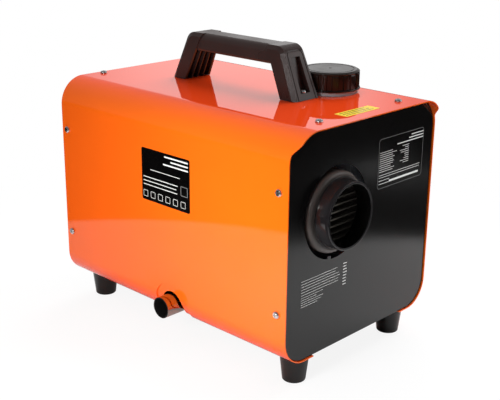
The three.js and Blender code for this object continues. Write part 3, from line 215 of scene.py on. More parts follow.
def loft(name: str, rings: Sequence[tuple[Outline, float]], axis: Axis) -> Piece:
    """Joins outlines of equal counts into one solid.

    Args:
        name: the piece's name.
        rings: each outline with its place along the axis.
        axis: the axis they follow each other along.

    Returns:
        The solid.
    """
    count, last = len(rings[0][0]), len(rings) - 1
    points = [axis.point(p.x, p.y, at) for outline, at in rings for p in outline]
    faces = [list(range(count)), list(range(last * count, (last + 1) * count))]
    for low in range(0, last * count, count):
        for i in range(count):
            after = (i + 1) % count
            faces.append([low + i, low + after, low + count + after, low + count + i])
    return mesh_piece(name, points, faces)


def prism(name: str, outline: Outline, span: Point, axis: Axis) -> Piece:
    """Sweeps a closed outline straight along an axis, from one end of a span to the other."""
    return loft(name, [(outline, at) for at in span], axis)


def lathe(name: str, profile: Sequence[Point], axis: Axis, count: int = 96, centre: Point = (0, 0, 0),
          steps: int = 5) -> Piece:
    """Turns a profile about an axis.

    Args:
        name: the piece's name.
        profile: (along, radius) or (along, radius, rounding) for each corner. It closes on itself.
        axis: the axis it turns about.
        count: facets round the axis.
        centre: a point that the axis passes through, from which along is measured.
        steps: chords in each rounded corner.

    Returns:
        The solid.
    """
    outline = rounded(profile, steps)
    rows = len(outline)
    points, faces = [], []
    for i in range(count):
        turn, past = 2 * math.pi * i / count, (i + 1) % count
        for k, p in enumerate(outline):
            points.append(axis.point(p.y * math.cos(turn), p.y * math.sin(turn), p.x) + Vector(centre))
            here = (k + 1) % rows
            if p.y >= WELD or outline[here].y >= WELD:
                faces.append([i * rows + k, i * rows + here, past * rows + here, past * rows + k])
    return mesh_piece(name, points, faces)


def rod(name: str, span: Point, radius: float, axis: Axis, count: int = 96, centre: Point = (0, 0, 0)) -> Piece:
    """Makes a round bar along an axis, as a drill or the start of a piece."""
    return lathe(name, [(span[0], 0), (span[0], radius), (span[1], radius), (span[1], 0)], axis, count, centre)


def tube(name: str, path: Sequence[Vector], radius: float, bore: float, sides: int) -> Piece:
    """Runs a round tube along a path.

    Args:
        name: the piece's name.
        path: the points of the tube's middle line.
        radius: outside radius.
        bore: inside radius.
        sides: facets round the tube.

    Returns:
        The tube's wall, closed at both ends.
    """
    heading = (path[1] - path[0]).normalized()
    square = heading.orthogonal().normalized()
    points, faces = [], []
    for i, stop in enumerate(path):
        ahead = (path[min(i + 1, len(path) - 1)] - path[max(i - 1, 0)]).normalized()
        square = (heading.rotation_difference(ahead) @ square).normalized()
        heading, other = ahead, ahead.cross(square)
        for ring in (bore, radius):
            for turn in (2 * math.pi * k / sides for k in range(sides)):
                points.append(stop + (square * math.cos(turn) + other * math.sin(turn)) * ring)
    last = 2 * sides * (len(path) - 1)
    steps = [(at, 2 * sides) for at in range(0, last, sides)] + [(0, sides), (last, sides)]
    for at, stride in steps:
        for k in range(sides):
            here, after = at + k, at + (k + 1) % sides
            faces.append([here, after, after + stride, here + stride])
    return mesh_piece(name, points, faces)


def settle(piece: Piece) -> Piece:
    """Turns a piece and its modifiers into a plain mesh.

    Args:
        piece: the piece.

    Returns:
        The piece.
    """
    graph = bpy.context.evaluated_depsgraph_get()
    old = piece.data
    made = bpy.data.meshes.new_from_object(piece.evaluated_get(graph), depsgraph=graph)
    piece.modifiers.clear()
    piece.data = made
    made.name = piece.name
    if old.users == 0:
        bpy.data.meshes.remove(old)
    return piece


def modify(piece: Piece, kind: str, **settings: Any) -> None:
    """Adds a modifier to a piece, with its settings.

    Args:
        piece: the piece.
        kind: the modifier's type.
        **settings: its properties.
    """
    modifier = piece.modifiers.new(kind.lower(), kind)
    for key, value in settings.items():
        setattr(modifier, key, value)


def combine(piece: Piece, others: Sequence[Piece], how: Cut = Cut.TAKE) -> Piece:
    """Joins other solids to a piece, takes them from it, or keeps what they share.

    Args:
        piece: the solid that changes.
        others: the solids that change it. They are used up.
        how: join, take or keep.

    Returns:
        The changed piece.
    """
    for other in others:
        modify(piece, "BOOLEAN", operation=how.value, solver="EXACT", object=other)
    settle(piece)
    for mesh in [other.data for other in others]:
        bpy.data.meshes.remove(mesh)
    return piece


def clean(piece: Piece, flat_deg: float, weld: float = 1e-3) -> Piece:
    """Merges doubled points and the slivers that lie in one flat face.

    Args:
        piece: the piece.
        flat_deg: faces that turn less than this become one.
        weld: points closer than this become one.

    Returns:
        The piece.
    """
    with edited(piece.data) as shell:
        bmesh.ops.remove_doubles(shell, verts=shell.verts, dist=weld)
        bmesh.ops.dissolve_limit(shell, angle_limit=math.radians(flat_deg), verts=shell.verts, edges=shell.edges,
                                 use_dissolve_boundaries=False)
    return piece


def soften(piece: Piece, width: float, segments: int = 2, angle_deg: float = 60.0) -> Piece:
    """Rounds a piece's edges.

    Args:
        piece: the piece.
        width: how far from an edge the rounding starts.
        segments: facets across each edge.
        angle_deg: only edges where faces turn more than this are rounded.

    Returns:
        The piece.
    """
    limit = {"limit_method": "ANGLE", "angle_limit": math.radians(angle_deg)}
    modify(piece, "BEVEL", width=width, segments=segments, **limit)
    return settle(piece)


def shade(piece: Piece, angle_deg: float) -> Piece:
    """Shades gentle turns smoothly and keeps flat faces flat.

    Args:
        piece: the piece.
        angle_deg: edges sharper than this stay sharp.

    Returns:
        The piece.
    """
    piece.data.shade_smooth()
    piece.data.set_sharp_from_angle(angle=math.radians(angle_deg))
    modify(piece, "WEIGHTED_NORMAL", mode="FACE_AREA", keep_sharp=True)
    return settle(piece)


def joined(name: str, parts: Sequence[Piece]) -> Piece:
    """Gathers loose parts, which are used up, into one object.

    Args:
        name: the new piece's name.
        parts: the parts.

    Returns:
        The new piece.
    """
    mesh = bpy.data.meshes.new(name)
    with edited(mesh) as shell:
        for part in parts:
            shell.from_mesh(part.data)
            bpy.data.objects.remove(part)
    return object_of(name, mesh)


@dataclass
class Wires:
    """Adds nodes to one tree and links them."""

    tree: bpy.types.NodeTree

    def feed(self, socket: Socket, value: Any) -> None:
        """Links an output to a socket, or sets the socket's value.

        Args:
            socket: the input socket.
            value: an output socket, several of them, or a plain value.
        """
        for item in value if isinstance(value, list) else [value]:
            if isinstance(item, Socket):
                self.tree.links.new(item, socket)
            else:
                socket.default_value = item

    def add(self, kind: str, inputs: dict | None = None, **settings: Any) -> bpy.types.Node:
        """Adds one node.

        Args:
            kind: the node's type.
            inputs: what each input takes, by name or place.
            **settings: the node's own properties.

        Returns:
            The node.
        """
        node = self.tree.nodes.new(kind)
        for key, value in settings.items():
            setattr(node, key, value)
        for key, value in (inputs or {}).items():
            self.feed(node.inputs[key], value)
        return node

    def get(self, kind: str, inputs: dict | None = None, out: str | int = 0, **settings: Any) -> Socket:
        """Adds one node and gives one of its outputs."""
        return self.add(kind, inputs, **settings).outputs[out]

    def maths(self, operation: str, *values: Any) -> Socket:
        """Adds one step of arithmetic and gives its result."""
        return self.get("ShaderNodeMath", dict(enumerate(values)), operation=operation)

    def plus(self, first: Any, second: Any) -> Socket:
        """Adds two values."""
        return self.maths("ADD", first, second)

    def minus(self, first: Any, second: Any) -> Socket:
        """Takes the second value from the first."""
        return self.maths("SUBTRACT", first, second)

    def times(self, first: Any, *others: Any) -> Socket:
        """Multiplies values.

        Args:
            first: the first value.
            *others: what it is multiplied by, one after another.

        Returns:
            The product.
        """
        for other in others:
            first = self.maths("MULTIPLY", first, other)
        return first

    def vector(self, operation: str, *values: Any, out: str = "Vector") -> Socket:
        """Adds one step of vector arithmetic and gives its result."""
        return self.get("ShaderNodeVectorMath", dict(enumerate(values)), out, operation=operation)

    def length(self, vector: Any) -> Socket:
        """Gives a vector's length."""
        return self.vector("LENGTH", vector, out="Value")

    def xyz(self, **parts: Any) -> Socket:
        """Puts a vector together from its X, Y and Z."""
        return self.get("ShaderNodeCombineXYZ", parts)

    def split(self, vector: Any) -> Any:
        """Takes a vector apart into its X, Y and Z."""
        return self.add("ShaderNodeSeparateXYZ", {0: vector}).outputs

    def noise(self, place: Any, scale: Any, detail: float, roughness: float, out: str | int = 0) -> Socket:
        """Gives a noise texture's value at a place."""
        inputs = {"Vector": place, "Scale": scale, "Detail": detail, "Roughness": roughness}
        return self.get("ShaderNodeTexNoise", inputs, out)

    def place(self, stretch: Point = (1, 1, 1)) -> Socket:
        """Gives the place on the piece, in metres, stretched along each axis."""
        place = self.get("ShaderNodeTexCoord", out="Object")
        return self.get("ShaderNodeMapping", {"Vector": place, "Scale": stretch})

    def ramp(self, value: Any, low: Any, high: Any, out_low: float = 0.0, out_high: float = 1.0,
             kind: str = "SMOOTHSTEP") -> Socket:
        """Maps a value between two limits onto two others, by a smooth or a linear change."""
        inputs = {"Value": value, "From Min": low, "From Max": high, "To Min": out_low, "To Max": out_high}
        return self.get("ShaderNodeMapRange", inputs, "Result", interpolation_type=kind)

    def blend(self, share: Any, first: Any, second: Any) -> Socket:
        """Mixes two colours, by how much of the second shows."""
        colours = {6 + i: c if isinstance(c, Socket) else (*c, 1.0) for i, c in enumerate((first, second))}
        return self.get("ShaderNodeMix", {0: share, **colours}, 2, data_type="RGBA")

    def either(self, share: Any, first: Socket, second: Socket) -> Socket:
        """Mixes two shaders, by how much of the second shows."""
        return self.get("ShaderNodeMixShader", {0: share, 1: first, 2: second})


def material_wires(holder: bpy.types.ID) -> Wires:
    """Clears a material's or a world's nodes for new ones.

    Args:
        holder: the material or world.

    Returns:
        The wires of its tree.
    """
    holder.use_nodes = True
    holder.node_tree.nodes.clear()
    return Wires(holder.node_tree)


def new_tree(kind: str, name: str, inputs: dict[str, Any], outputs: dict[str, str]) -> tuple[Wires, Any, Any]:
    """Opens a node group.

    Args:
        kind: the kind of node tree.
        name: its name.
        inputs: its inputs, each with its usual value or, without one, its socket's type.
        outputs: its outputs with their sockets' types.

    Returns:
        The group's wires, its inputs and what its outputs take.
    """
    tree = bpy.data.node_groups.new(name, kind)
    types = {float: "NodeSocketFloat", int: "NodeSocketInt"}
    for label, value in inputs.items():
        socket_type = types.get(type(value), value)
        socket = tree.interface.new_socket(label, in_out="INPUT", socket_type=socket_type)
        if socket_type != value:
            socket.default_value = value
    for label, socket_type in outputs.items():
        tree.interface.new_socket(label, in_out="OUTPUT", socket_type=socket_type)
    wires = Wires(tree)
    return wires, wires.add("NodeGroupInput").outputs, wires.add("NodeGroupOutput").inputs


class PieceTree:
    """A Geometry Nodes tree with named inputs, which ends in Realize Instances and Set Material."""

    def __init__(self, name: str, inputs: dict[str, float | int]) -> None:
        """Opens a tree.

        Args:
            name: the tree's name.
            inputs: the named inputs with their usual values.
        """
        geometry = {"Geometry": "NodeSocketGeometry"}
        inputs = {**geometry, **inputs, "Material": "NodeSocketMaterial"}
        self.wires, self.given, self.out = new_tree("GeometryNodeTree", name, inputs, geometry)
        self.wires.tree.is_modifier = True

    def close(self, geometry: Socket) -> "PieceTree":
        """Ends the tree.

        Args:
            geometry: the geometry that the tree gives.

        Returns:
            The tree.
        """
        w = self.wires
        real = w.get("GeometryNodeRealizeInstances", {"Geometry": geometry})
        painted = w.get("GeometryNodeSetMaterial", {"Geometry": real, "Material": self.given["Material"]})
        w.feed(self.out["Geometry"], painted)
        return self

    def grow(self, piece: Piece, material: bpy.types.Material, **values: float | int) -> Piece:
        """Runs the tree on a piece and keeps the result as a plain mesh.

        Args:
            piece: the object that the tree starts from.
            material: the finish that it sets.
            **values: inputs that differ from the usual, with _ for each space.

        Returns:
            The piece.
        """
        tree = self.wires.tree
        run = piece.modifiers.new(tree.name, "NODES")
        run.node_group = tree
        chosen = {key.replace("_", " ").title(): value for key, value in values.items()} | {"Material": material}
        for item in tree.interface.items_tree:
            if item.in_out == "INPUT" and item.name in chosen:
                run[item.identifier] = chosen[item.name]
        return settle(piece)


def seats_piece(name: str, seats: Sequence[Seat]) -> Piece:
    """Makes loose points that carry the direction each instance stands in.

    Args:
        name: the object's name.
        seats: a place and an outward direction for each instance.

    Returns:
        The object.
    """
    mesh = bpy.data.meshes.new(name)
    mesh.from_pydata([tuple(place) for place, _ in seats], [], [])
    outward = mesh.attributes.new("outward", "FLOAT_VECTOR", "POINT")
    for i, (_, direction) in enumerate(seats):
        outward.data[i].vector = direction
    return object_of(name, mesh)


def screw_tree() -> PieceTree:
    """Builds the tree that stands a cross-head screw on each point.

    Returns:
        The tree.
    """
    tree = PieceTree("cross_head_screws", {
        "Head Radius": 4.0, "Head Height": 2.4, "Dome Share": 0.32, "Recess Length": 2.2, "Recess Width": 0.75,
        "Recess Depth": 1.5, "Shank Radius": 1.6, "Shank Length": 6.0, "Seed": 7,
    })
    w, given = tree.wires, tree.given

    def moved(mesh: Socket, up: Socket) -> Socket:
        """Lifts a mesh."""
        return w.get("GeometryNodeTransform", {"Geometry": mesh, "Translation": w.xyz(Z=up)})

    height = given["Head Height"]
    head = w.get("GeometryNodeMeshCylinder", {
        "Vertices": 40, "Side Segments": 6, "Fill Segments": 1, "Radius": given["Head Radius"], "Depth": height,
    }, "Mesh")
    place = w.get("GeometryNodeInputPosition")
    share = w.plus(w.maths("DIVIDE", w.split(place)["Z"], height), 0.5)
    fall = w.times(w.maths("POWER", w.maths("MAXIMUM", share, 0.0), 3.0), given["Dome Share"])
    narrow = w.minus(1.0, fall)
    domed = w.get("GeometryNodeSetPosition", {
        "Geometry": head, "Position": w.vector("MULTIPLY", place, w.xyz(X=narrow, Y=narrow, Z=1.0)),
    })
    bars = []
    for long_way in ("X", "Y"):
        size = {"X": given["Recess Width"], "Y": given["Recess Width"], "Z": w.times(given["Recess Depth"], 2.0)}
        size[long_way] = w.times(given["Recess Length"], 2.0)
        bars.append(moved(w.get("GeometryNodeMeshCube", {"Size": w.xyz(**size)}, "Mesh"), height))
    recessed = w.get("GeometryNodeMeshBoolean", {"Mesh 1": moved(domed, w.times(height, 0.5)), "Mesh 2": bars},
                     "Mesh", operation="DIFFERENCE", solver="EXACT")
    shank = w.get("GeometryNodeMeshCylinder", {
        "Vertices": 16, "Radius": given["Shank Radius"], "Depth": given["Shank Length"],
    }, "Mesh")
    shank = moved(shank, w.times(given["Shank Length"], -0.5))
    whole = w.get("GeometryNodeJoinGeometry", {"Geometry": [recessed, shank]})
    outward = w.get("GeometryNodeInputNamedAttribute", {"Name": "outward"}, data_type="FLOAT_VECTOR")
    spin = w.get("FunctionNodeRandomValue", {"Seed": given["Seed"], 2: 0.0, 3: math.pi / 2}, 1, data_type="FLOAT")
    own = w.get("FunctionNodeAxisAngleToRotation", {"Axis": UP, "Angle": spin})
    stand = w.get("FunctionNodeAlignRotationToVector", {"Rotation": own, "Vector": outward}, axis="Z")
    return tree.close(w.get("GeometryNodeInstanceOnPoints", {
        "Points": given["Geometry"], "Instance": whole, "Rotation": stand,
    }))


def bars_tree() -> PieceTree:
    """Builds the tree that fills a ring, which stands across X, with level bars.

    Returns:
        The tree.
    """
    tree = PieceTree("guard_bars", {"Radius": 37.0, "Pitch": 7.4, "Bar Width": 1.6, "Depth": 4.0, "Count": 9})
    w, given = tree.wires, tree.given
    half = w.times(w.minus(given["Count"], 1), w.times(given["Pitch"], -0.5))
    line = w.get("GeometryNodeMeshLine", {
        "Count": given["Count"], "Start Location": w.xyz(Z=half), "Offset": w.xyz(Z=given["Pitch"]),
    }, "Mesh")
    up = w.split(w.get("GeometryNodeInputPosition"))["Z"]
    chord = w.times(w.maths("SQRT", w.minus(w.maths("POWER", given["Radius"], 2), w.maths("POWER", up, 2))), 2)
    bars = w.get("GeometryNodeInstanceOnPoints", {
        "Points": line, "Instance": w.get("GeometryNodeMeshCube", {"Size": (1, 1, 1)}, "Mesh"),
        "Scale": w.xyz(X=given["Depth"], Y=chord, Z=given["Bar Width"]),
    })
    return tree.close(w.get("GeometryNodeJoinGeometry", {"Geometry": [given["Geometry"], bars]}))


def ribs_tree() -> PieceTree:
    """Builds the tree that swells alternate wide and narrow grip ribs out of a turned skirt.

    Returns:
        The tree.
    """
    tree = PieceTree("grip_ribs", {
        "Pairs": 9, "Rib Height": 1.3, "Wide Rib": 6.5, "Narrow Rib": 3.0, "Flank": 0.9, "Root Radius": 31.8,
        "Foot": 3.6, "Head": 20.0, "End Ease": 1.6,
    })
    w, given = tree.wires, tree.given
    place = w.get("GeometryNodeInputPosition")
    split = w.split(place)
    turn = w.maths("DIVIDE", w.maths("ARCTAN2", split["Y"], split["X"]), 2 * math.pi)
    period = w.maths("DIVIDE", w.times(given["Root Radius"], 2 * math.pi), given["Pairs"])
    ribs = []
    for width, shift in ((given["Wide Rib"], 0.0), (given["Narrow Rib"], 0.5)):
        phase = w.plus(w.times(turn, given["Pairs"]), shift)
        away = w.maths("ABSOLUTE", w.minus(phase, w.maths("ROUND", phase)))
        half = w.times(width, 0.5)
        ribs.append(w.ramp(w.times(away, period), w.plus(half, given["Flank"]), half))
    above = w.ramp(split["Z"], given["Foot"], w.plus(given["Foot"], given["End Ease"]))
    below = w.ramp(split["Z"], given["Head"], w.minus(given["Head"], given["End Ease"]))
    radial = w.vector("MULTIPLY", place, (1, 1, 0))
    outside = w.maths("GREATER_THAN", w.length(radial), w.minus(given["Root Radius"], 0.5))
    swell = w.times(w.maths("MAXIMUM", *ribs), given["Rib Height"], outside, above, below)
    push = w.get("ShaderNodeVectorMath", {0: w.vector("NORMALIZE", radial), "Scale": swell}, operation="SCALE")
    return tree.close(w.get("GeometryNodeSetPosition", {"Geometry": given["Geometry"], "Offset": push}))


def rules_tree() -> PieceTree:
    """Builds the tree that prints rows of plain rules, as on a form with nothing filled in.

    The rows lie in the XY plane, start at x = 0 and run down from y = 0.

    Returns:
        The tree.
    """
    tree = PieceTree("label_rules", {
        "Rows": 6, "Pitch": 3.4, "Width": 40.0, "Shortest": 0.5, "Line Height": 0.8, "Thickness": 0.06, "Seed": 3,
    })
    w, given = tree.wires, tree.given
    step = w.xyz(Y=w.times(given["Pitch"], -1))
    line = w.get("GeometryNodeMeshLine", {"Count": given["Rows"], "Offset": step}, "Mesh")
    share = w.get("FunctionNodeRandomValue", {"Seed": given["Seed"], 2: given["Shortest"], 3: 1.0}, 1,
                  data_type="FLOAT")
    size = w.xyz(X=w.times(share, given["Width"]), Y=given["Line Height"], Z=given["Thickness"])
    bar = w.get("GeometryNodeMeshCube", {"Size": (1, 1, 1)}, "Mesh")
    bar = w.get("GeometryNodeTransform", {"Geometry": bar, "Translation": (0.5, 0, 0.5)})
    return tree.close(w.get("GeometryNodeInstanceOnPoints", {"Points": line, "Instance": bar, "Scale": size}))


def shader_group(name: str, inputs: dict[str, float], *outputs: str) -> tuple[Wires, Any, Any]:
    """Opens a shader node group whose inputs and outputs are numbers."""
    return new_tree("ShaderNodeTree", name, inputs, dict.fromkeys(outputs, "NodeSocketFloat"))


def surface_group(kind: Texture) -> bpy.types.NodeTree:
    """Builds the group that breaks up a surface.

    Args:
        kind: which texture the group makes.

    Returns:
        The group. Height feeds a Bump node, and Mask varies roughness and colour.
    """
    inputs = {"Scale": 900.0, "Slow Scale": 14.0}
    w, given, out = shader_group(f"surface_{kind.name.lower()}", inputs, "Height", "Mask")
    place = w.place((1, 0.04, 1) if kind is Texture.BRUSHED else (1, 1, 1))
    slow = w.noise(w.place(), given["Slow Scale"], 3.0, 0.55)
    if kind is Texture.CAST:
        cells = w.get("ShaderNodeTexVoronoi", {"Vector": place, "Scale": given["Scale"]}, "Distance")
        fine = w.times(cells, w.ramp(slow, 0.3, 0.7, 0.5, 1.0))
    elif kind is Texture.WOVEN:
        split = w.split(place)
        sums = (w.plus(split["X"], split["Z"]), w.minus(split["X"], split["Z"]), split["Y"])
        one, two, cross = (w.maths("SINE", w.times(value, given["Scale"])) for value in sums)
        fine = w.plus(w.times(one, two), w.times(cross, 0.5))
    else:
        detail = {Texture.PEEL: 0.0, Texture.GRAIN: 4.0, Texture.BRUSHED: 2.0}[kind]
        fine = w.noise(place, given["Scale"], detail, 0.6)
    w.feed(out["Height"], fine)
    w.feed(out["Mask"], slow)
    return w.tree


def dust_group() -> bpy.types.NodeTree:
    """Builds the group that says where a thin film of dust lies: on faces that look up, in patches.

    Returns:
        The group.
    """
    w, given, out = shader_group("dust_film", {"Amount": 0.1, "Patch Scale": 22.0}, "Mask")
    up = w.split(w.get("ShaderNodeTexCoord", out="Normal"))["Z"]
    patch = w.noise(w.place(), given["Patch Scale"], 5.0, 0.7)
    w.feed(out["Mask"], w.times(w.ramp(up, 0.2, 1.0), w.ramp(patch, 0.35, 0.75), given["Amount"]))
    return w.tree


def scuff_group() -> bpy.types.NodeTree:
    """Builds the group that says where fine rubbing marks run.

    Returns:
        The group.
    """
    w, given, out = shader_group("rub_marks", {"Amount": 0.3, "Scale": 60.0}, "Mask")
    bent = w.noise(w.place(), 9.0, 2.0, 0.5, "Color")
    place = w.vector("ADD", w.place((0.15, 1, 0.6)), w.vector("MULTIPLY", bent, (0.05, 0.05, 0.05)))
    streak = w.noise(place, given["Scale"], 6.0, 0.75)
    w.feed(out["Mask"], w.times(w.ramp(streak, 0.6, 0.8), given["Amount"]))
    return w.tree


@dataclass(frozen=True)
class Finish:
    """One surface finish, with the sizes of everything that breaks it up and colours from 0 to 255."""

    name: str
    colour: tuple[int, int, int]
    roughness: float
    scale: float = 900
    bump: float = 0.05
    bump_mm: float = 0.05
    slow_scale: float = 14.0
    tint: float = 0.06
    roughness_spread: float = 0.08
    texture: Texture = Texture.GRAIN
    metallic: float = 0.0
    coat: float = 0.0
    coat_roughness: float = 0.02
    specular: float = 0.5
    dust: float = 0.05
    dust_colour: Colour = (0.32, 0.29, 0.25)
    scuffs: float = 0.0
    transmission: float = 0.0
    # Painted shade: a darker, redder colour that faces seen edge-on blend into, so the top and the far end look
    # less lit.
    grazing_shade: tuple[int, int, int] | None = None
    turn: tuple[float, float] = (0.3, 0.8)

    def build(self, groups: dict[str, bpy.types.NodeTree]) -> bpy.types.Material:
        """Makes the material.

        Args:
            groups: the shared shader groups by name.

        Returns:
            The material.
        """
        material = bpy.data.materials.new(self.name)
        w = material_wires(material)

        def mask(name: str, amount: float) -> Socket:
            """Adds one of the shared masks."""
            return w.get("ShaderNodeGroup", {"Amount": amount}, node_tree=groups[name])

        surface = w.add("ShaderNodeGroup", node_tree=groups[self.texture.name])
        w.feed(surface.inputs["Scale"], self.scale)
        w.feed(surface.inputs["Slow Scale"], self.slow_scale)
        slow, base = surface.outputs["Mask"], srgb(*self.colour)
        colour = w.blend(w.ramp(slow, 0.35, 0.65), shade_of(base, 1 - self.tint), shade_of(base, 1 + self.tint))
        # Painted shade: faces seen edge-on blend into a darker, redder colour.
        if self.grazing_shade:
            facing = w.get("ShaderNodeLayerWeight", {"Blend": 0.5}, "Facing")
            colour = w.blend(w.ramp(facing, *self.turn, kind="LINEAR"), colour, srgb(*self.grazing_shade))
        low, high = max(self.roughness - self.roughness_spread, 0.02), self.roughness + self.roughness_spread
        rough = w.ramp(slow, 0.3, 0.7, low, min(high, 1.0))
        if self.scuffs > 0:
            marks = mask("scuffs", self.scuffs)
            rough = w.plus(rough, w.times(marks, 0.4))
            colour = w.blend(w.times(marks, 0.35), colour, shade_of(self.dust_colour, 0.8))
        if self.dust > 0:
            film = mask("dust", self.dust)
            colour = w.blend(film, colour, self.dust_colour)
            rough = w.plus(rough, w.times(film, 0.5))
        bump = w.get("ShaderNodeBump", {
            "Strength": self.bump, "Distance": self.bump_mm / 1000, "Height": surface.outputs["Height"],
        })
        shader = w.get("ShaderNodeBsdfPrincipled", {
            "Base Color": colour, "Roughness": rough, "Metallic": self.metallic, "Coat Weight": self.coat,
            "Coat Roughness": self.coat_roughness, "Specular IOR Level": self.specular,
            "Transmission Weight": self.transmission, "IOR": 1.5, "Normal": bump,
        })
        w.add("ShaderNodeOutputMaterial", {"Surface": shader})
        return material


PEEL, BRUSHED, CAST, WOVEN = Texture.PEEL, Texture.BRUSHED, Texture.CAST, Texture.WOVEN
FINISHES = (
    # The orange paint's edge-on colour is painted shade, darkest on the top.
    Finish("orange_paint", (253, 110, 18), 0.34, 420, 0.02, 0.03, 6, 0.02, 0.03, PEEL, coat=1.0,
           coat_roughness=0.015, specular=0.0, dust=0.0, grazing_shade=(250, 72, 26)),
    Finish("black_paint", (9, 8, 8), 0.17, 800, 0.04, 0.03, 8, 0.08, 0.03, PEEL, dust=0.012),
    Finish("handle_plastic", (52, 38, 36), 0.3, 1400, 0.25, 0.06, dust=0.02, scuffs=0.2),
    Finish("cap_plastic", (34, 26, 23), 0.2, specular=0.32, dust=0.02, scuffs=0.2),
    Finish("nozzle_plastic", (30, 28, 30), 0.2, 1100, 0.14, 0.06, dust=0.02, scuffs=0.3),
    # Painted light: a lighter, rougher copy of the nozzle plastic for the shoulder that faces the lamps.
    Finish("shoulder_plastic", (80, 73, 70), 0.36, 1100, 0.2, 0.06, dust=0.0, scuffs=0.3),
    # Painted shade: near-black for the inside of the nozzle's bore.
    Finish("bore_black", (4, 3, 3), 0.3, 1100, 0.1, dust=0.0),
    Finish("rear_plastic", (26, 25, 25), 0.42, 1300, 0.25, 0.06),
    Finish("shell_plastic", (38, 37, 37), 0.5, 900, 0.3, 0.08, scuffs=0.2),
    Finish("rubber", (8, 7, 7), 0.2, 700, 0.08, 0.06, dust=0.02),
    Finish("hose_rubber", (22, 22, 22), 0.55, 900, 0.2),
    Finish("button_rubber", (46, 45, 46), 0.6, 1600, 0.2, 0.04),
    Finish("loom_braid", (26, 26, 27), 0.6, 2600, 0.7, 0.3, texture=WOVEN, dust=0.08),
    Finish("zinc", (222, 224, 226), 0.26, 900, 0.08, 0.03, 90, 0.05, metallic=1.0, dust=0),
    Finish("cast_metal", (172, 172, 170), 0.5, 600, 0.5, 0.15, 20, 0.1, 0.1, CAST, metallic=1.0),
    Finish("raw_steel", (150, 148, 146), 0.38, 700, 0.12, 0.03, 30, 0.12, 0.1, BRUSHED, metallic=1.0, scuffs=0.3),
    Finish("guard_metal", (70, 66, 60), 0.6, 900, 0.1, 0.03, 30, 0.1, dust=0.0),
    Finish("polished_steel", (178, 172, 166), 0.05, 500, 0.02, 0.02, 30, 0.03, 0.03, BRUSHED, metallic=1.0, dust=0),
    Finish("tank_plastic", (226, 231, 240), 0.34, 500, 0.06, tint=0.02, dust=0.01),
    Finish("clear_plastic", (214, 214, 204), 0.22, 700, 0.03, 0.03, transmission=0.35),
    Finish("board", (22, 78, 44), 0.35, 5200, 0.15, 0.05, 60, 0.2, texture=WOVEN),
    Finish("display_glass", (12, 15, 18), 0.06, 400, 0.01, 0.01, texture=PEEL, coat=1.0, dust=0),
    Finish("label_film", (5, 4, 4), 0.16, 900, 0.03, 0.02, texture=PEEL, dust=0),
    Finish("label_ink", (232, 232, 230), 0.5, 2600, 0.05, 0.02, tint=0.1, dust=0),
    Finish("border_ink", (120, 120, 120), 0.5, 2600, 0.05, 0.02, tint=0.1, dust=0),
    Finish("yellow_film", (252, 216, 26), 0.3, 900, 0.03, 0.02, texture=PEEL, dust=0),
    Finish("icon_ink", (226, 226, 224), 0.5, 2600, 0.05, 0.02, tint=0.04, dust=0),
    Finish("soot", (18, 16, 15), 0.85, 800, 0.5, 0.1, tint=0.3, texture=CAST, dust=0),
)


def build_finishes() -> dict[str, bpy.types.Material]:
    """Builds the shared groups and then every finish.

    Returns:
        The materials by name.
    """
    groups = {kind.name: surface_group(kind) for kind in Texture}
    groups |= {"dust": dust_group(), "scuffs": scuff_group()}
    return {finish.name: finish.build(groups) for finish in FINISHES}


@dataclass
class SubAssembly:
    """A group of pieces that are built, dressed and tied to their bodies together."""

    origin: Vector
    finishes: dict[str, bpy.types.Material]

    def dress(self, piece: Piece, finish: str, slot: str = "", body: str = HEATER, nodes: Sequence[str] = (),
              smooth: float = 0, placed: bool = False) -> None:
        """Settles a piece in place, gives it its finish and ties it to its body.

        Args:
            piece: the piece.
            finish: the finish's name, or "" to keep the materials that it has.
            slot: the record's material slot, where it isn't called as the finish is. Not used.
            body: the CAD body that it rides on.
            nodes: the CAD nodes that it stands for.
            smooth: edges sharper than this stay sharp, or 0 to leave the shading as it is.
            placed: whether the piece is in the row frame already, and not in the casing's.
        """
        if smooth:
            shade(piece, smooth)
        if not placed:
            piece.data.transform(Matrix.Translation(self.origin) @ Matrix.Scale(0.001, 4))
        if finish:
            piece.data.materials.clear()
            piece.data.materials.append(self.finishes[finish])
        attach(piece, body)
        if nodes:
            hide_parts(*nodes)
        LOG.info("%s: %d faces on %s", piece.name, len(piece.data.polygons), body)

    def build(self) -> None:
        """Builds every piece of the group."""
        raise NotImplementedError


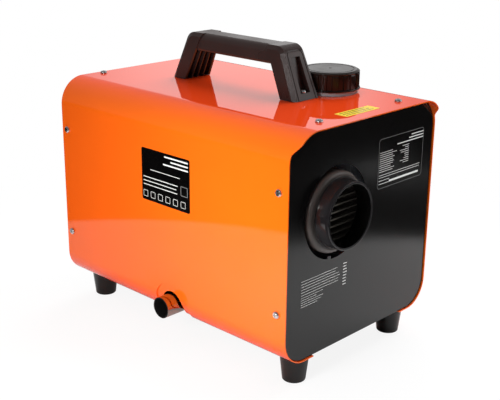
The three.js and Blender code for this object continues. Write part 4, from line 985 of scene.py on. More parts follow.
@dataclass
class Casing(SubAssembly):
    """The folded orange wrap, the two black end panels and the pressed dish for the exhaust."""

    sheet: float = 1.2
    top_radius: float = 32.0
    bottom_radius: float = 31.0
    return_flange: float = 15.0
    swell: float = 8.5
    reach: float = 9.4
    visor_foot: float = 23.5
    visor_shoulder: float = 9.7
    tray_sheet: float = 1.0
    recess: float = 1.5
    flange: float = 20.0
    flange_foot: float = 38.0
    fold: float = 0.9
    outlet_hole: float = 50.1
    tab_width: float = 5.5
    tab_height: float = 3.4
    tab_round: float = 1.2
    tab_turn_deg: float = -100.7
    inlet_hole: float = 46.8
    dish_up: float = 17.9
    dish_radius: float = 27.5
    dish_slope: float = 1.5
    dish_depth: float = 1.5
    dish_hole: float = 16.1
    filler_hole: float = 31.6
    screw_hole: float = 2.1
    drill_reach: float = 9.0
    screw_alongs: tuple[float, float] = (10.0, 349.0)
    screw_ups: tuple[float, float] = (59.2, 187.8)
    screw_across: float = 66.0
    handle_screw_from_middle: float = 89.94
    handle_pocket_floor: float = 7.0
    panel_middle: tuple[float, float] = (60.0, 178.0)
    panel_half: tuple[float, float] = (38.3, 25.3)
    socket_up: float = 62.0
    socket_hole: float = 10.8
    corner_steps: int = 20
    visor_steps: int = 24
    merge_deg: float = 0.05

    def screw_seats(self) -> dict[str, list[Seat]]:
        """Gives the seats of the casing's screws.

        Returns:
            For each face of the casing, the place and outward direction of each screw.
        """
        seats = {"near": [], "far": [], "top": []}
        for along in self.screw_alongs:
            for hand, sign in (("near", -1), ("far", 1)):
                seats[hand] += [(Vector((along, sign * SIDE, up)), Vector((0, sign, 0))) for up in self.screw_ups]
                seats["top"].append((Vector((along, sign * self.screw_across, HEIGHT)), UP))
        return seats

    def skin(self, outer: float, inner: float) -> Outline:
        """Gives the wrap's section between two depths below its outer face.

        Args:
            outer: the first depth.
            inner: the second depth.

        Returns:
            The section's outline.
        """
        end, corners = SIDE - self.bottom_radius - self.return_flange, []
        for inset, way in ((outer, 1), (inner, -1)):
            across, top = SIDE - inset, HEIGHT - inset
            low_round, top_round = self.bottom_radius - inset, self.top_radius - inset
            corners += [
                (-end, inset), (-across, inset, low_round), (-across, top, top_round),
                (across, top, top_round), (across, inset, low_round), (end, inset),
            ][::way]
        return rounded(corners, self.corner_steps)

    def ahead_of_visor(self) -> Outline:
        """Gives a side view of everything in front of the wrap's S-shaped front edge.

        Returns:
            The outline.
        """
        start, rise = HEIGHT - self.visor_foot, self.visor_foot - self.visor_shoulder
        shares = [i / self.visor_steps for i in range(self.visor_steps + 1)]
        edge = [(LENGTH + self.swell * s * s * (3 - 2 * s), start + rise * s) for s in shares]
        tip, above = LENGTH + self.reach, HEIGHT + OVERCUT
        corners = [(LENGTH, -OVERCUT), *edge, (tip, HEIGHT), (tip, above), (tip + OVERCUT, above)]
        return [Vector(c) for c in (*corners, (tip + OVERCUT, -OVERCUT))]

    def drill(self, place: Point, axis: Axis = Axis.Z) -> Piece:
        """Makes the drill of one screw."""
        return rod("drill", (-self.drill_reach, self.drill_reach), self.screw_hole, axis, 24, place)

    def drills(self) -> list[Piece]:
        """Makes a drill for each screw of the casing."""
        seats = [seat for group in self.screw_seats().values() for seat in group]
        return [self.drill(place, Axis.Z if out.z else Axis.Y) for place, out in seats]

    def wrap(self) -> None:
        """Builds the wrap, with its visor, pressed dish and holes."""
        room = [EXHAUST_ALONG + sign * (self.dish_radius + OVERCUT) for sign in (-1, 1)]
        near = (-SIDE - OVERCUT, self.bottom_radius - SIDE)
        backing, press, hole = (
            rod("dish", near, radius, Axis.Y, 96, (EXHAUST_ALONG, 0, self.dish_up))
            for radius in (self.dish_radius, self.dish_radius - self.dish_slope, self.dish_hole)
        )
        wrap = prism("casing_wrap_sheet", self.skin(0, self.sheet), (0, LENGTH + self.reach), Axis.X)
        thick = prism("thick", self.skin(0, self.dish_depth + self.sheet), room, Axis.X)
        dent = prism("dent", self.skin(-OVERCUT, self.dish_depth), room, Axis.X)
        combine(thick, [backing], Cut.KEEP)
        combine(dent, [press], Cut.KEEP)
        through = (HEIGHT - OVERCUT, HEIGHT + OVERCUT)
        filler = rod("filler", through, self.filler_hole, Axis.Z, 96, (*FILLER, 0))
        ahead = prism("ahead", self.ahead_of_visor(), (-SIDE - OVERCUT, SIDE + OVERCUT), Axis.Y)
        handle_drills = [
            self.drill((LENGTH / 2 + sign * self.handle_screw_from_middle, 0, HEIGHT)) for sign in (-1, 1)
        ]
        combine(wrap, [thick], Cut.JOIN)
        combine(wrap, [dent, hole, filler, ahead, *self.drills(), *handle_drills])
        self.dress(clean(wrap, self.merge_deg), "orange_paint", nodes=["casing_wrap"], smooth=30)

    def tray_outline(self, inset: float) -> Outline:
        """Gives the outline of an end panel's folded tray.

        Args:
            inset: how deep the outline lies below the flange's outer face.

        Returns:
            The outline.
        """
        seat = self.sheet + GAP + inset
        return tapered(SIDE - seat, SIDE - seat, seat, HEIGHT - seat, self.top_radius - seat, self.corner_steps,
                       self.bottom_radius - seat)

    def tray(self, name: str, face: float, inward: int) -> Piece:
        """Folds one end panel.

        Args:
            name: the piece's name.
            face: where its outer face lies along X.
            inward: 1 or -1, the way its flanges run.

        Returns:
            The panel without its holes.
        """
        back = face + inward * self.tray_sheet
        rim = back + inward * self.flange
        past = sorted((back, rim + inward * OVERCUT))
        blank = soften(prism(name, self.tray_outline(0), sorted((face, rim)), Axis.X), self.fold, 4, 50)
        hollow = prism("hollow", self.tray_outline(self.tray_sheet), past, Axis.X)
        foot = prism("foot", rectangle(*past, -SIDE, SIDE), (-OVERCUT, self.flange_foot), Axis.Z)
        return combine(blank, [hollow, foot])

    def front_panel(self) -> None:
        """Builds the black outlet panel with the locating tab in its hole."""
        face, centre = LENGTH - self.recess, (0, *OUTLET)
        panel = self.tray("front_panel_sheet", face, -1)
        hole = rod("hole", (face - OVERCUT, face + OVERCUT), self.outlet_hole, Axis.X, 128, centre)
        combine(panel, [hole, *self.drills()])
        low, high = self.outlet_hole - self.tab_height, self.outlet_hole + self.tab_height
        half, corner = self.tab_width / 2, self.tab_round
        outline = rounded([(low, -half, corner), (high, -half), (high, half), (low, half, corner)])
        tab = prism("tab", outline, (face - self.tray_sheet, face), Axis.X)
        tab.data.transform(Matrix.Translation(centre) @ Matrix.Rotation(math.radians(self.tab_turn_deg), 4, "X"))
        combine(panel, [tab], Cut.JOIN)
        self.dress(clean(panel, self.merge_deg), "black_paint", nodes=["front_panel"], smooth=30)

    def rear_panel(self) -> None:
        """Builds the black rear panel with its openings."""
        panel = self.tray("rear_panel_sheet", self.recess, 1)
        past = (self.recess - OVERCUT, self.recess + OVERCUT)
        (across, up), (wide, high) = self.panel_middle, self.panel_half
        combine(panel, [
            rod("drill", past, self.inlet_hole, Axis.X, 96, (0, *OUTLET)),
            rod("drill", past, self.socket_hole, Axis.X, 96, (0, across, self.socket_up)),
            prism("opening", rectangle(across - wide, across + wide, up - high, up + high), past, Axis.X),
            *self.drills(),
        ])
        self.dress(clean(panel, self.merge_deg), "black_paint", nodes=["rear_panel"], smooth=30)

    def screws(self) -> None:
        """Stands the casing's twelve screws in their holes, and the handle's two in its pockets."""
        tree, zinc = screw_tree(), self.finishes["zinc"]
        for face, seats in self.screw_seats().items():
            stood = [(place + out * GAP, out) for place, out in seats]
            screws = tree.grow(seats_piece(f"casing_screws_{face}", stood), zinc)
            marks = ("near_top", "far_top") if face == "top" else (f"{face}_low", f"{face}_high")
            nodes = [f"screw_{end}_{mark}" for end in ("rear", "front") for mark in marks]
            self.dress(screws, "", "zinc", nodes=nodes, smooth=35)
        for end, sign in (("rear", -1), ("front", 1)):
            level = HEIGHT + self.handle_pocket_floor + 2 * GAP
            seat = Vector((LENGTH / 2 + sign * self.handle_screw_from_middle, 0, level))
            bolt = tree.grow(seats_piece(f"handle_bolt_{end}", [(seat, UP)]), zinc, head_radius=3.6,
                             shank_radius=1.8, shank_length=13.0, recess_length=2.0)
            self.dress(bolt, "", "zinc", nodes=[f"handle_screw_{end}"], smooth=35)

    def build(self) -> None:
        """Builds the casing."""
        for step in (self.wrap, self.front_panel, self.rear_panel, self.screws):
            step()


@dataclass
class Feet(SubAssembly):
    """Four tapered rubber feet, each held by a screw up its middle."""

    height: float = 30.2
    top: float = 15.9
    bottom: float = 12.5
    edge: float = 1.6
    recess_radius: float = 5.5
    recess_depth: float = 10.0
    from_end: float = 20.6
    from_middle: float = 83.4

    def build(self) -> None:
        """Builds the feet and the screws inside them."""
        seats = []
        low, floor = -self.height, self.recess_depth - self.height
        for end, along in (("rear", self.from_end), ("front", LENGTH - self.from_end)):
            for hand, sign in (("near", -1), ("far", 1)):
                centre = Vector((along, sign * self.from_middle, -GAP))
                foot = lathe(f"rubber_foot_{end}_{hand}", [
                    (floor, 0), (floor, self.recess_radius), (low, self.recess_radius, 0.8),
                    (low, self.bottom, self.edge), (0, self.top, 1.0), (0, 0),
                ], Axis.Z, 72, centre)
                self.dress(foot, "rubber", nodes=[f"foot_{end}_{hand}"], smooth=40)
                seats.append((centre + UP * (floor - GAP / 2), -UP))
        screws = screw_tree().grow(seats_piece("foot_screws", seats), self.finishes["zinc"], shank_length=2.0,
                                   head_radius=4.2)
        self.dress(screws, "", "zinc", smooth=35)


@dataclass
class Handle(SubAssembly):
    """The moulded carrying handle: two broad legs, a rounder grip set in from them, and ribs inside."""

    base: float = 248.3
    half_length: float = 97.2
    lean: float = 0.43
    height: float = 56.0
    corner: float = 13.0
    half_width: float = 20.6
    taper: float = 0.065
    chamfer_along: float = 4.5
    chamfer_across: float = 3.2
    inner_half: float = 75.4
    inner_lean: float = 0.45
    grip_under: float = 35.1
    inner_corner: float = 5.0
    grip_inset: float = 1.4
    grip_round: float = 8.0
    grip_foot_round: float = 3.6
    grip_reach: float = 61.0
    wall: float = 9.0
    roof: float = 5.0
    skin: float = 3.0
    rib_pitch: float = 9.0
    rib: float = 1.6
    pocket_half: float = 7.6
    pocket_floor: float = 7.0
    pocket_top: float = 44.0
    pocket_top_depth: float = 3.4
    pocket_floor_depth: float = 8.5
    groove_depth: float = 0.8
    groove_width: float = 1.2
    groove_half: float = 14.6
    groove_top: float = 51.0
    groove_corner: float = 6.0
    shank: float = 2.1
    edge: float = 0.55
    merge_deg: float = 0.3

    def outside(self, up: float) -> float:
        """Gives how far the legs' outer faces are from the middle at a height."""
        return self.half_length - self.lean * up

    def inside(self, up: float) -> float:
        """Gives how far the legs' inner faces are from the middle at a height."""
        return self.inner_half - self.inner_lean * up

    def body_outline(self, inset: float) -> Outline:
        """Gives the handle's outline from the side.

        Args:
            inset: how far the outline is drawn in.

        Returns:
            The outline.
        """
        shift, top = inset * math.hypot(1, self.lean), self.height - inset
        return tapered(self.outside(-OVERCUT) - shift, self.outside(top) - shift, -OVERCUT, top,
                       self.corner - inset, 16)

    def between(self, margin: float, top: float, corner: float) -> Outline:
        """Gives the outline of the room between the legs, widened by a margin."""
        return tapered(self.inside(-OVERCUT) + margin, self.inside(top) + margin, -OVERCUT, top, corner, 6)

    def grip(self) -> Piece:
        """Makes the rounded bar between the legs.

        Returns:
            The bar.
        """
        side, reach = self.half_width - self.grip_inset, self.grip_reach
        return prism("grip", tapered(side, side, self.grip_under, self.height, self.grip_round, 10,
                                     self.grip_foot_round), (-reach, reach), Axis.X)

    def slab(self, sign: int, half: float, foot: Point, top: Point) -> Piece:
        """Makes a cutter that goes into one leg's outer face.

        Args:
            sign: which leg, -1 or 1.
            half: half the cutter's width.
            foot: its lower end's height, and how deep it goes there.
            top: the same for its upper end.

        Returns:
            The cutter.
        """
        low, high = self.outside(foot[0]), self.outside(top[0])
        return prism("slab", rounded([
            (sign * (low - foot[1]), foot[0]), (sign * (low + OVERCUT), foot[0]),
            (sign * (high + OVERCUT), top[0]), (sign * (high - top[1]), top[0]),
        ]), (-half, half), Axis.Y)

    def groove(self, sign: int) -> Piece:
        """Makes the cutter for the line that frames the pocket on one leg's outer face.

        Args:
            sign: which leg, -1 or 1.

        Returns:
            The cutter.
        """
        across = sorted((sign * (self.outside(self.groove_top) - OVERCUT), sign * (self.outside(0) + OVERCUT)))
        ring, core = (
            prism("ring", tapered(self.groove_half - inset, self.groove_half - inset, -OVERCUT,
                                  self.groove_top - inset, self.groove_corner - inset, 6),
                  (across[0] - past, across[1] + past), Axis.X)
            for inset, past in ((0, 0), (self.groove_width, 1))
        )
        ends = (-OVERCUT, self.groove_depth), (self.groove_top, self.groove_depth)
        return combine(combine(ring, [core]), [self.slab(sign, self.half_width, *ends)], Cut.KEEP)

    def hollows(self) -> list[Piece]:
        """Makes the cutters for the channels under the grip and inside the legs.

        Returns:
            The cutters.
        """
        outline = self.between(self.wall, self.height - self.roof, self.inner_corner)
        edge, half, pitch = self.half_width - self.skin, self.rib / 2, self.rib_pitch
        spans = [(-edge, -pitch - half), (half - pitch, -half), (half, pitch - half), (pitch + half, edge)]
        return [prism("hollow", outline, span, Axis.Y) for span in spans]

    def build(self) -> None:
        """Builds the handle."""
        face, flank = self.half_width, self.half_width - self.chamfer_across
        small, full = self.body_outline(self.chamfer_along), self.body_outline(0)
        handle = loft("carrying_handle", [(small, -face), (full, -flank), (full, flank), (small, face)], Axis.Y)
        past = (-face - OVERCUT, face + OVERCUT)
        room = prism("room", self.between(0, self.height + OVERCUT, 0), past, Axis.Y)
        combine(combine(handle, [room]), [self.grip()], Cut.JOIN)
        cutters = [prism("gap", self.between(0, self.grip_under, self.inner_corner), past, Axis.Y), *self.hollows()]
        foot, top = (self.pocket_floor, self.pocket_floor_depth), (self.pocket_top, self.pocket_top_depth)
        for sign in (-1, 1):
            along = sign * (self.outside(self.pocket_floor) - self.pocket_floor_depth / 2)
            cutters.append(rod("hole", (-1, self.pocket_floor + GAP), self.shank, Axis.Z, 24, (along, 0, 0)))
        cutters.append(prism("below", rectangle(-LENGTH, LENGTH, *past), (-3 * OVERCUT, 0), Axis.Z))
        for sign in (-1, 1):
            cutters += [self.slab(sign, self.pocket_half, foot, top), self.groove(sign)]
        combine(handle, cutters)
        soften(clean(handle, self.merge_deg), self.edge, angle_deg=30)
        for point in handle.data.vertices:
            point.co.y *= 1 - self.taper * point.co.z / self.half_width
        handle.data.transform(Matrix.Translation((LENGTH / 2, 0, self.base)))
        self.dress(handle, "handle_plastic", nodes=["handle"], smooth=32)


@dataclass
class Outlet(SubAssembly):
    """The warm-air nozzle and the guard inside it."""

    face: float = 363.0
    tip: float = 378.5
    body: float = 43.2
    neck: float = 40.2
    shoulder: float = 43.6
    shoulder_back: float = 345.0
    shoulder_round: float = 4.0
    shoulder_shift: tuple[float, float] = (-3.3, 0.8)
    shoulder_overlap: float = 1.0
    collar_foot: float = 37.8
    collar_step: float = 1.6
    core_step: float = 1.8
    dark_step: float = 0.4
    bore_slack: float = 0.05
    facets: int = 144
    collar_tip: float = 34.9
    bead: float = 36.2
    bead_width: float = 4.5
    bore: float = 33.2
    seat: float = 38.6
    seat_end: float = 359.8
    shell_mouth: float = 330.3
    sleeve_inner: float = 40.9
    sleeve_start: float = 306.3
    guard_back: float = 355.5
    guard_depth: float = 4.0
    guard_rim: float = 2.0
    bars: int = 9
    bar_pitch: float = 7.4
    bar: float = 1.6

    def nozzle(self) -> Piece:
        """Turns the nozzle, with its shoulder a little off-centre.

        Returns:
            The nozzle.
        """
        centre, back = Vector((0, *OUTLET)), self.shoulder_back
        bead_start = self.tip - self.bead_width
        nozzle = lathe("outlet_nozzle_body", [
            (self.sleeve_start, self.sleeve_inner), (self.sleeve_start, self.body), (back, self.body, 0.5),
            (back + self.shoulder_overlap, self.neck), (self.face, self.neck),
            (self.face, self.collar_foot + self.collar_step, 0.5),
            (self.face - 0.5, self.collar_foot, 0.4), (bead_start - GAP, self.collar_tip, 0.5),
            (bead_start + GAP, self.bead, 0.5), (self.tip, self.bead, 0.9), (self.tip, self.bore, 0.9),
            (self.seat_end, self.bore, 0.4), (self.seat_end, self.seat), (self.shell_mouth, self.seat),
            (self.shell_mouth, self.sleeve_inner),
        ], Axis.X, self.facets, centre)
        shoulder = lathe("shoulder", [
            (back - self.shoulder_overlap, 0), (back - self.shoulder_overlap, self.shoulder, 1.0),
            (self.face, self.shoulder, self.shoulder_round), (self.face, 0),
        ], Axis.X, self.facets, centre + Vector((0, *self.shoulder_shift)))
        span, core = (back - OVERCUT, self.face + 1), self.collar_foot + self.core_step
        inside = rod("inside", span, core, Axis.X, self.facets, centre)
        return combine(nozzle, [combine(shoulder, [inside])], Cut.JOIN)

    def build(self) -> None:
        """Builds the nozzle, in three finishes, and its guard: dark plastic, a lighter copy on the shoulder that is
        painted light, and near-black in the bore that is painted shade.
        """
        nozzle = self.nozzle()
        for name in ("nozzle_plastic", "shoulder_plastic", "bore_black"):
            nozzle.data.materials.append(self.finishes[name])
        across, up = OUTLET
        # The shoulder's faces take the lighter copy, painted light; the bore's inner faces take near-black, painted
        # shade.
        for face in nozzle.data.polygons:
            radius = math.hypot(face.center.y - across, face.center.z - up)
            in_bore = face.center.x > self.seat_end + GAP and radius < self.bore + self.bore_slack
            face.material_index = 2 if in_bore else int(radius > self.collar_foot + self.dark_step)
        self.dress(nozzle, "", "nozzle_plastic", nodes=["outlet_nozzle"], smooth=38)
        rim, half = self.seat - GAP, self.guard_depth / 2
        ring = lathe("outlet_guard_grid", [
            (-half, rim - self.guard_rim), (-half, rim), (half, rim), (half, rim - self.guard_rim, 0.4),
        ], Axis.X, 96)
        guard = bars_tree().grow(
            ring, self.finishes["guard_metal"], radius=rim - self.guard_rim / 2, pitch=self.bar_pitch,
            bar_width=self.bar, depth=self.guard_depth, count=self.bars,
        )
        guard.data.transform(Matrix.Translation((self.guard_back + half, across, up)))
        self.dress(guard, "", "nozzle_plastic", nodes=["outlet_guard"], smooth=35)


@dataclass
class FuelCap(SubAssembly):
    """The ribbed screw cap on the filler neck."""

    foot: float = 252.1
    height: float = 21.6
    inside: float = 29.4
    ceiling: float = 17.9
    lip: float = 34.1
    lip_height: float = 1.7
    root: float = 31.7
    crest: float = 33.1
    band: float = 3.2
    crown: float = 30.4
    ring: float = 26.0
    ring_width: float = 1.3
    ring_depth: float = 0.5
    dimple: float = 1.5
    dimple_depth: float = 0.8
    dimple_slope: float = 0.6
    slope: float = 0.7
    crown_drop: float = 1.5
    fine_round: float = 0.2
    rib_flank: float = 0.6
    skirt_steps: int = 18
    skirt_margin: float = 1.0
    facets: int = 540

    def build(self) -> None:
        """Builds the cap."""
        top, groove, dimple = self.height, self.height - self.ring_depth, self.height - self.dimple_depth
        band_foot, ring, fine = top - self.band, self.ring + self.ring_width, self.fine_round
        start = self.lip_height + self.skirt_margin
        rise = (band_foot - self.skirt_margin - start) / self.skirt_steps
        skirt = [(start + rise * i, self.root) for i in range(self.skirt_steps + 1)]
        cap = lathe("fuel_cap_moulding", [
            (0, self.inside), (0, self.lip, 0.6), (self.lip_height, self.lip, 0.7),
            (self.lip_height + self.slope, self.root, 0.4), *skirt, (band_foot, self.root),
            (band_foot + self.slope, self.crest, 0.5), (top - self.crown_drop, self.crest, 0.9),
            (top, self.crown, 1.0), (top, ring, fine), (groove, ring, fine), (groove, self.ring, fine),
            (top, self.ring, fine), (top, self.dimple, fine), (dimple, self.dimple - self.dimple_slope, fine),
            (dimple, 0), (self.ceiling, 0), (self.ceiling, self.inside),
        ], Axis.Z, self.facets, steps=3)
        ribs_tree().grow(
            cap, self.finishes["cap_plastic"], root_radius=self.root, foot=self.lip_height,
            head=band_foot + self.rib_flank, rib_height=self.crest - self.root, flank=self.rib_flank, end_ease=1.0,
        )
        cap.data.transform(Matrix.Translation((*FILLER, self.foot)))
        self.dress(cap, "", "cap_plastic", "cap", ["fuel_cap"], 40)


@dataclass
class Exhaust(SubAssembly):
    """The polished exhaust tube that leaves through the pressed dish."""

    up: float = 19.2
    radius: float = 12.3
    wall: float = 1.5
    end: float = 137.3
    bend: float = 26.0
    bend_steps: int = 20
    edge: float = 0.35
    # How far the dark end ring of the mouth reaches: partly real soot, partly a painted dark reflection on the thin
    # rim.
    soot_and_dark_reflection_lip: float = 0.1
    soot_start: float = 0.6
    mouth_facing: float = 0.8
    sides: int = 72
    across: float = -46.0
    top: float = 87.4

    def build(self) -> None:
        """Builds the tube, sooty inside."""
        corner = Vector((EXHAUST_ALONG, self.across, self.up))
        mouth = Vector((EXHAUST_ALONG, -self.end, self.up))
        enter, leave = corner + UP * self.bend, corner - Vector((0, self.bend, 0))
        path = [corner + UP * (self.top - self.up)]
        for share in (k / self.bend_steps for k in range(self.bend_steps + 1)):
            path.append(enter * (1 - share) ** 2 + corner * 2 * share * (1 - share) + leave * share * share)
        path.append(mouth)
        pipe = soften(tube("exhaust_tube", path, self.radius, self.radius - self.wall, self.sides), self.edge)
        shade(pipe, 40)
        for name in ("polished_steel", "soot"):
            pipe.data.materials.append(self.finishes[name])
        for face in pipe.data.polygons:
            # The mouth's end ring is dark: partly real soot, partly a painted dark reflection.
            if face.normal.y < -self.mouth_facing and face.center.y < mouth.y + self.soot_and_dark_reflection_lip:
                face.material_index = 1
            elif face.center.y > mouth.y + self.soot_start:
                spine = min(path, key=lambda stop: (stop - face.center).length)
                face.material_index = int((spine - face.center).dot(face.normal) > 0)
        self.dress(pipe, "", "polished_steel", nodes=["exhaust_pipe"])


FACES = {
    "near": ((0, -SIDE, 0), (1, 0, 0), (0, 0, 1)),
    "front": ((359.5, 0, 0), (0, 1, 0), (0, 0, 1)),
    "top": ((354.8, 0, HEIGHT), (0, 1, 0), (-1, 0, 0)),
}


@dataclass(frozen=True)
class RuleBlock:
    """One block of plain rules: its place to the right and up on a face, and its sizes."""

    name: str
    place: tuple[float, float]
    rows: int
    pitch: float
    width: float
    line: float
    shortest: float
    seed: int
    face: str = "front"
    from_right: bool = False
    rise: float = 0.21
    ink: str = "label_ink"


RULE_BLOCKS = (
    RuleBlock("side_plate_heading", (220.2, 189.6), 3, 4.4, 42.0, 1.7, 0.6, 4, "near", True),
    RuleBlock("side_plate_line", (160.0, 170.4), 1, 4.4, 49.0, 0.7, 0.95, 1, "near"),
    RuleBlock("side_plate_rules", (148.0, 161.0), 3, 4.4, 57.0, 0.9, 0.8, 3, "near"),
    RuleBlock("front_plate_heading", (102.0, 211.6), 3, 3.2, 48.0, 1.0, 0.3, 8, from_right=True),
    RuleBlock("front_plate_rules", (23.4, 200.4), 10, 2.35, 30.0, 0.5, 0.5, 5),
    RuleBlock("front_plate_values", (76.0, 201.4), 9, 2.35, 17.0, 0.5, 0.4, 9, from_right=True),
    RuleBlock("front_plate_notes", (23.4, 175.4), 2, 2.6, 76.0, 0.5, 0.95, 6),
    RuleBlock("front_plate_marks", (23.4, 169.4), 2, 3.6, 20.0, 0.6, 0.8, 7),
    RuleBlock("front_plate_foot", (42.0, 166.6), 1, 3.0, 55.0, 2.2, 0.98, 2),
    RuleBlock("front_print", (-98.0, 90.0), 6, 3.0, 62.0, 0.45, 0.8, 11, rise=0.02),
    RuleBlock("front_print_low", (-98.0, 72.0), 5, 2.5, 38.0, 0.4, 0.6, 12, rise=0.02),
    RuleBlock("front_print_marks", (-31.0, 91.4), 8, 3.4, 6.5, 1.1, 0.8, 13, rise=0.02),
)
TOP_BLOCK = RuleBlock("top_plate_rules", (-26.0, 12.6), 3, 4.4, 48.0, 1.0, 0.8, 2, "top", ink="label_film")


@dataclass
class Labels(SubAssembly):
    """Bare film plates where the maker's words would be, with plain rules as on an empty form."""

    film: float = 0.2
    film_foot: float = 0.02
    film_edge: float = 0.08
    ink: float = 0.06
    ink_rise: float = 0.21

    def stand(self, piece: Piece, face: str, place: Point, rise: float = 0.0, mirrored: bool = False) -> None:
        """Stands a flat piece, drawn in the XY plane, on a face of the casing.

        Args:
            piece: the piece.
            face: the face's name.
            place: where its origin goes, to the right and up.
            rise: how far it stands off the sheet.
            mirrored: whether its X runs to the left, so that it faces inwards.
        """
        foot, right, up = (Vector(v) for v in FACES[face])
        foot += right * place[0] + up * place[1] + right.cross(up) * (rise + self.ink * mirrored)
        across = -right if mirrored else right
        turn = Matrix((across, up, across.cross(up))).transposed().to_4x4()
        piece.data.transform(Matrix.Translation(foot) @ turn)

    def plate(self, name: str, size: Point, radius: float, finish: str, face: str, place: Point) -> None:
        """Makes one film plate.

        Args:
            name: the piece's name.
            size: its width and height.
            radius: its corners' radius.
            finish: its finish.
            face: the face that it lies on.
            place: its lower left corner, to the right and up.
        """
        plate = prism(name, rectangle(0, size[0], 0, size[1], radius), (self.film_foot, self.film), Axis.Z)
        self.stand(soften(plate, self.film_edge), face, place)
        self.dress(plate, finish, "orange_paint" if face == "top" else "black_paint", smooth=40)

    def boxes(self, name: str, size: Point, radius: float, line: float, face: str, place: Point,
              ink: str = "border_ink", count: int = 1, pitch: float = 0.0, steps: int = 12) -> None:
        """Prints a row of empty boxes, or a line round a plate.

        Args:
            name: the piece's name.
            size: a box's width and height.
            radius: its corners' radius.
            line: how broad its line is.
            face: the face that it is printed on.
            place: the first box's lower left corner, to the right and up.
            ink: the print's finish.
            count: how many boxes.
            pitch: from one box to the next.
            steps: chords in each corner.
        """
        (wide, high), row = size, []
        for start in (i * pitch for i in range(count)):
            outer, inner = (
                prism(name, rectangle(start + edge, start + wide - edge, edge, high - edge, corner, steps), span,
                      Axis.Z)
                for edge, corner, span in ((0, radius, (0, self.ink)), (line, max(radius - line, 0.1), (-1, 1)))
            )
            row.append(combine(outer, [inner]))
        boxes = joined(name, row)
        self.stand(boxes, face, place, self.ink_rise)
        self.dress(boxes, ink, "tank_plastic")

    def rules(self, tree: PieceTree, block: RuleBlock) -> None:
        """Prints one block of plain rules.

        Args:
            tree: the tree that draws rules.
            block: its place and sizes.
        """
        rows = tree.grow(
            seats_piece(block.name, []), self.finishes[block.ink], thickness=self.ink, rows=block.rows,
            pitch=block.pitch, width=block.width, line_height=block.line, shortest=block.shortest, seed=block.seed,
        )
        self.stand(rows, block.face, block.place, block.rise, block.from_right)
        self.dress(rows, "", "tank_plastic")

    def build(self) -> None:
        """Places the three plates and the printed blocks."""
        tree = rules_tree()
        self.plate("side_plate", (77.6, 59.6), 2.5, "label_film", "near", (145.2, 134.1))
        self.boxes("side_plate_box", (11, 11), 1.0, 0.8, "near", (208.5, 151.5))
        self.boxes("side_plate_boxes", (7.4, 7.4), 1.0, 0.5, "near", (147.5, 138.0), "label_ink", 6, 12.2, 4)
        self.plate("front_plate", (83.0, 56.6), 4.0, "label_film", "front", (20.6, 159.9))
        self.boxes("front_plate_border", (81.6, 55.2), 3.6, 0.45, "front", (21.3, 160.6))
        for block in RULE_BLOCKS:
            self.rules(tree, block)
        self.plate("top_plate", (56.0, 16.4), 0.8, "yellow_film", "top", (-30.0, 0.0))
        self.rules(tree, TOP_BLOCK)


@dataclass
class Controls(SubAssembly):
    """Marks on the rear panel's three buttons and its display."""

    across: float = 60.0
    up: float = 163.0
    pitch: float = 20.0
    press_face: float = -3.21
    thickness: float = 0.12
    line: float = 0.75
    ring: float = 2.7
    ring_gap_deg: float = 40
    ring_steps: int = 28
    display_up: float = 190.0
    display_face: float = -1.4

    def mark(self, name: str, outline: Outline) -> Piece:
        """Makes a flat mark, drawn as it is read from behind the heater."""
        return prism(name, outline, (0.0, self.thickness), Axis.Z)

    def arrow(self, name: str, sign: int) -> Piece:
        """Draws an open arrow head that points up or, with -1, down."""
        half = [(-2.6, -1.1), (0, 1.5), (2.6, -1.1), (2.05, -1.65), (0, 0.4), (-2.05, -1.65)]
        return self.mark(name, [Vector((x, y * sign)) for x, y in half])

    def power_mark(self) -> Piece:
        """Draws a broken ring with a bar.

        Returns:
            The mark.
        """
        gap, steps = self.ring_gap_deg, self.ring_steps
        turns = [math.radians(gap + (360 - 2 * gap) * k / steps) for k in range(steps + 1)]
        ring = [
            Vector((math.sin(turn), math.cos(turn))) * radius
            for radius, way in ((self.ring, 1), (self.ring - self.line, -1)) for turn in turns[::way]
        ]
        bar = rectangle(-self.line / 2, self.line / 2, 0.6, 3.2, 0.3, 4)
        return joined("power_mark", [self.mark("ring", ring), self.mark("bar", bar)])

    def digits(self) -> Piece:
        """Draws two plain seven-bar digits, a two and a nought.

        Returns:
            The digits.
        """
        level, upright = (2.1, 0.45), (0.45, 2.1)
        top, middle, low = ((0, y, *level) for y in (5, 0, -5))
        upper_left, upper_right, lower_left, lower_right = (
            (x, y, *upright) for y in (2.5, -2.5) for x in (-2.6, 2.6)
        )
        shown = {-5.0: (top, upper_right, middle, lower_left, low),
                 5.0: (top, upper_left, upper_right, lower_left, lower_right, low)}
        return joined("display_digits", [
            self.mark("bar", rectangle(x + shift - wide, x + shift + wide, y - high, y + high, 0.4, 3))
            for shift, bars in shown.items() for x, y, wide, high in bars
        ])

    def build(self) -> None:
        """Places the marks."""
        marks = (
            (self.arrow("down_mark", -1), -1, "down_key"), (self.power_mark(), 0, "power_key"),
            (self.arrow("up_mark", 1), 1, "up_key"),
        )
        turn = Matrix(((0, 0, -1), (-1, 0, 0), (0, 1, 0))).to_4x4()
        for mark, step, body in marks:
            place = (self.press_face, self.across + step * self.pitch, self.up)
            mark.data.transform(Matrix.Translation(place) @ turn)
            self.dress(mark, "icon_ink", "button_rubber", body)
        digits = self.digits()
        digits.data.transform(Matrix.Translation((self.display_face, self.across, self.display_up)) @ turn)
        self.dress(digits, "icon_ink", "display_glass")


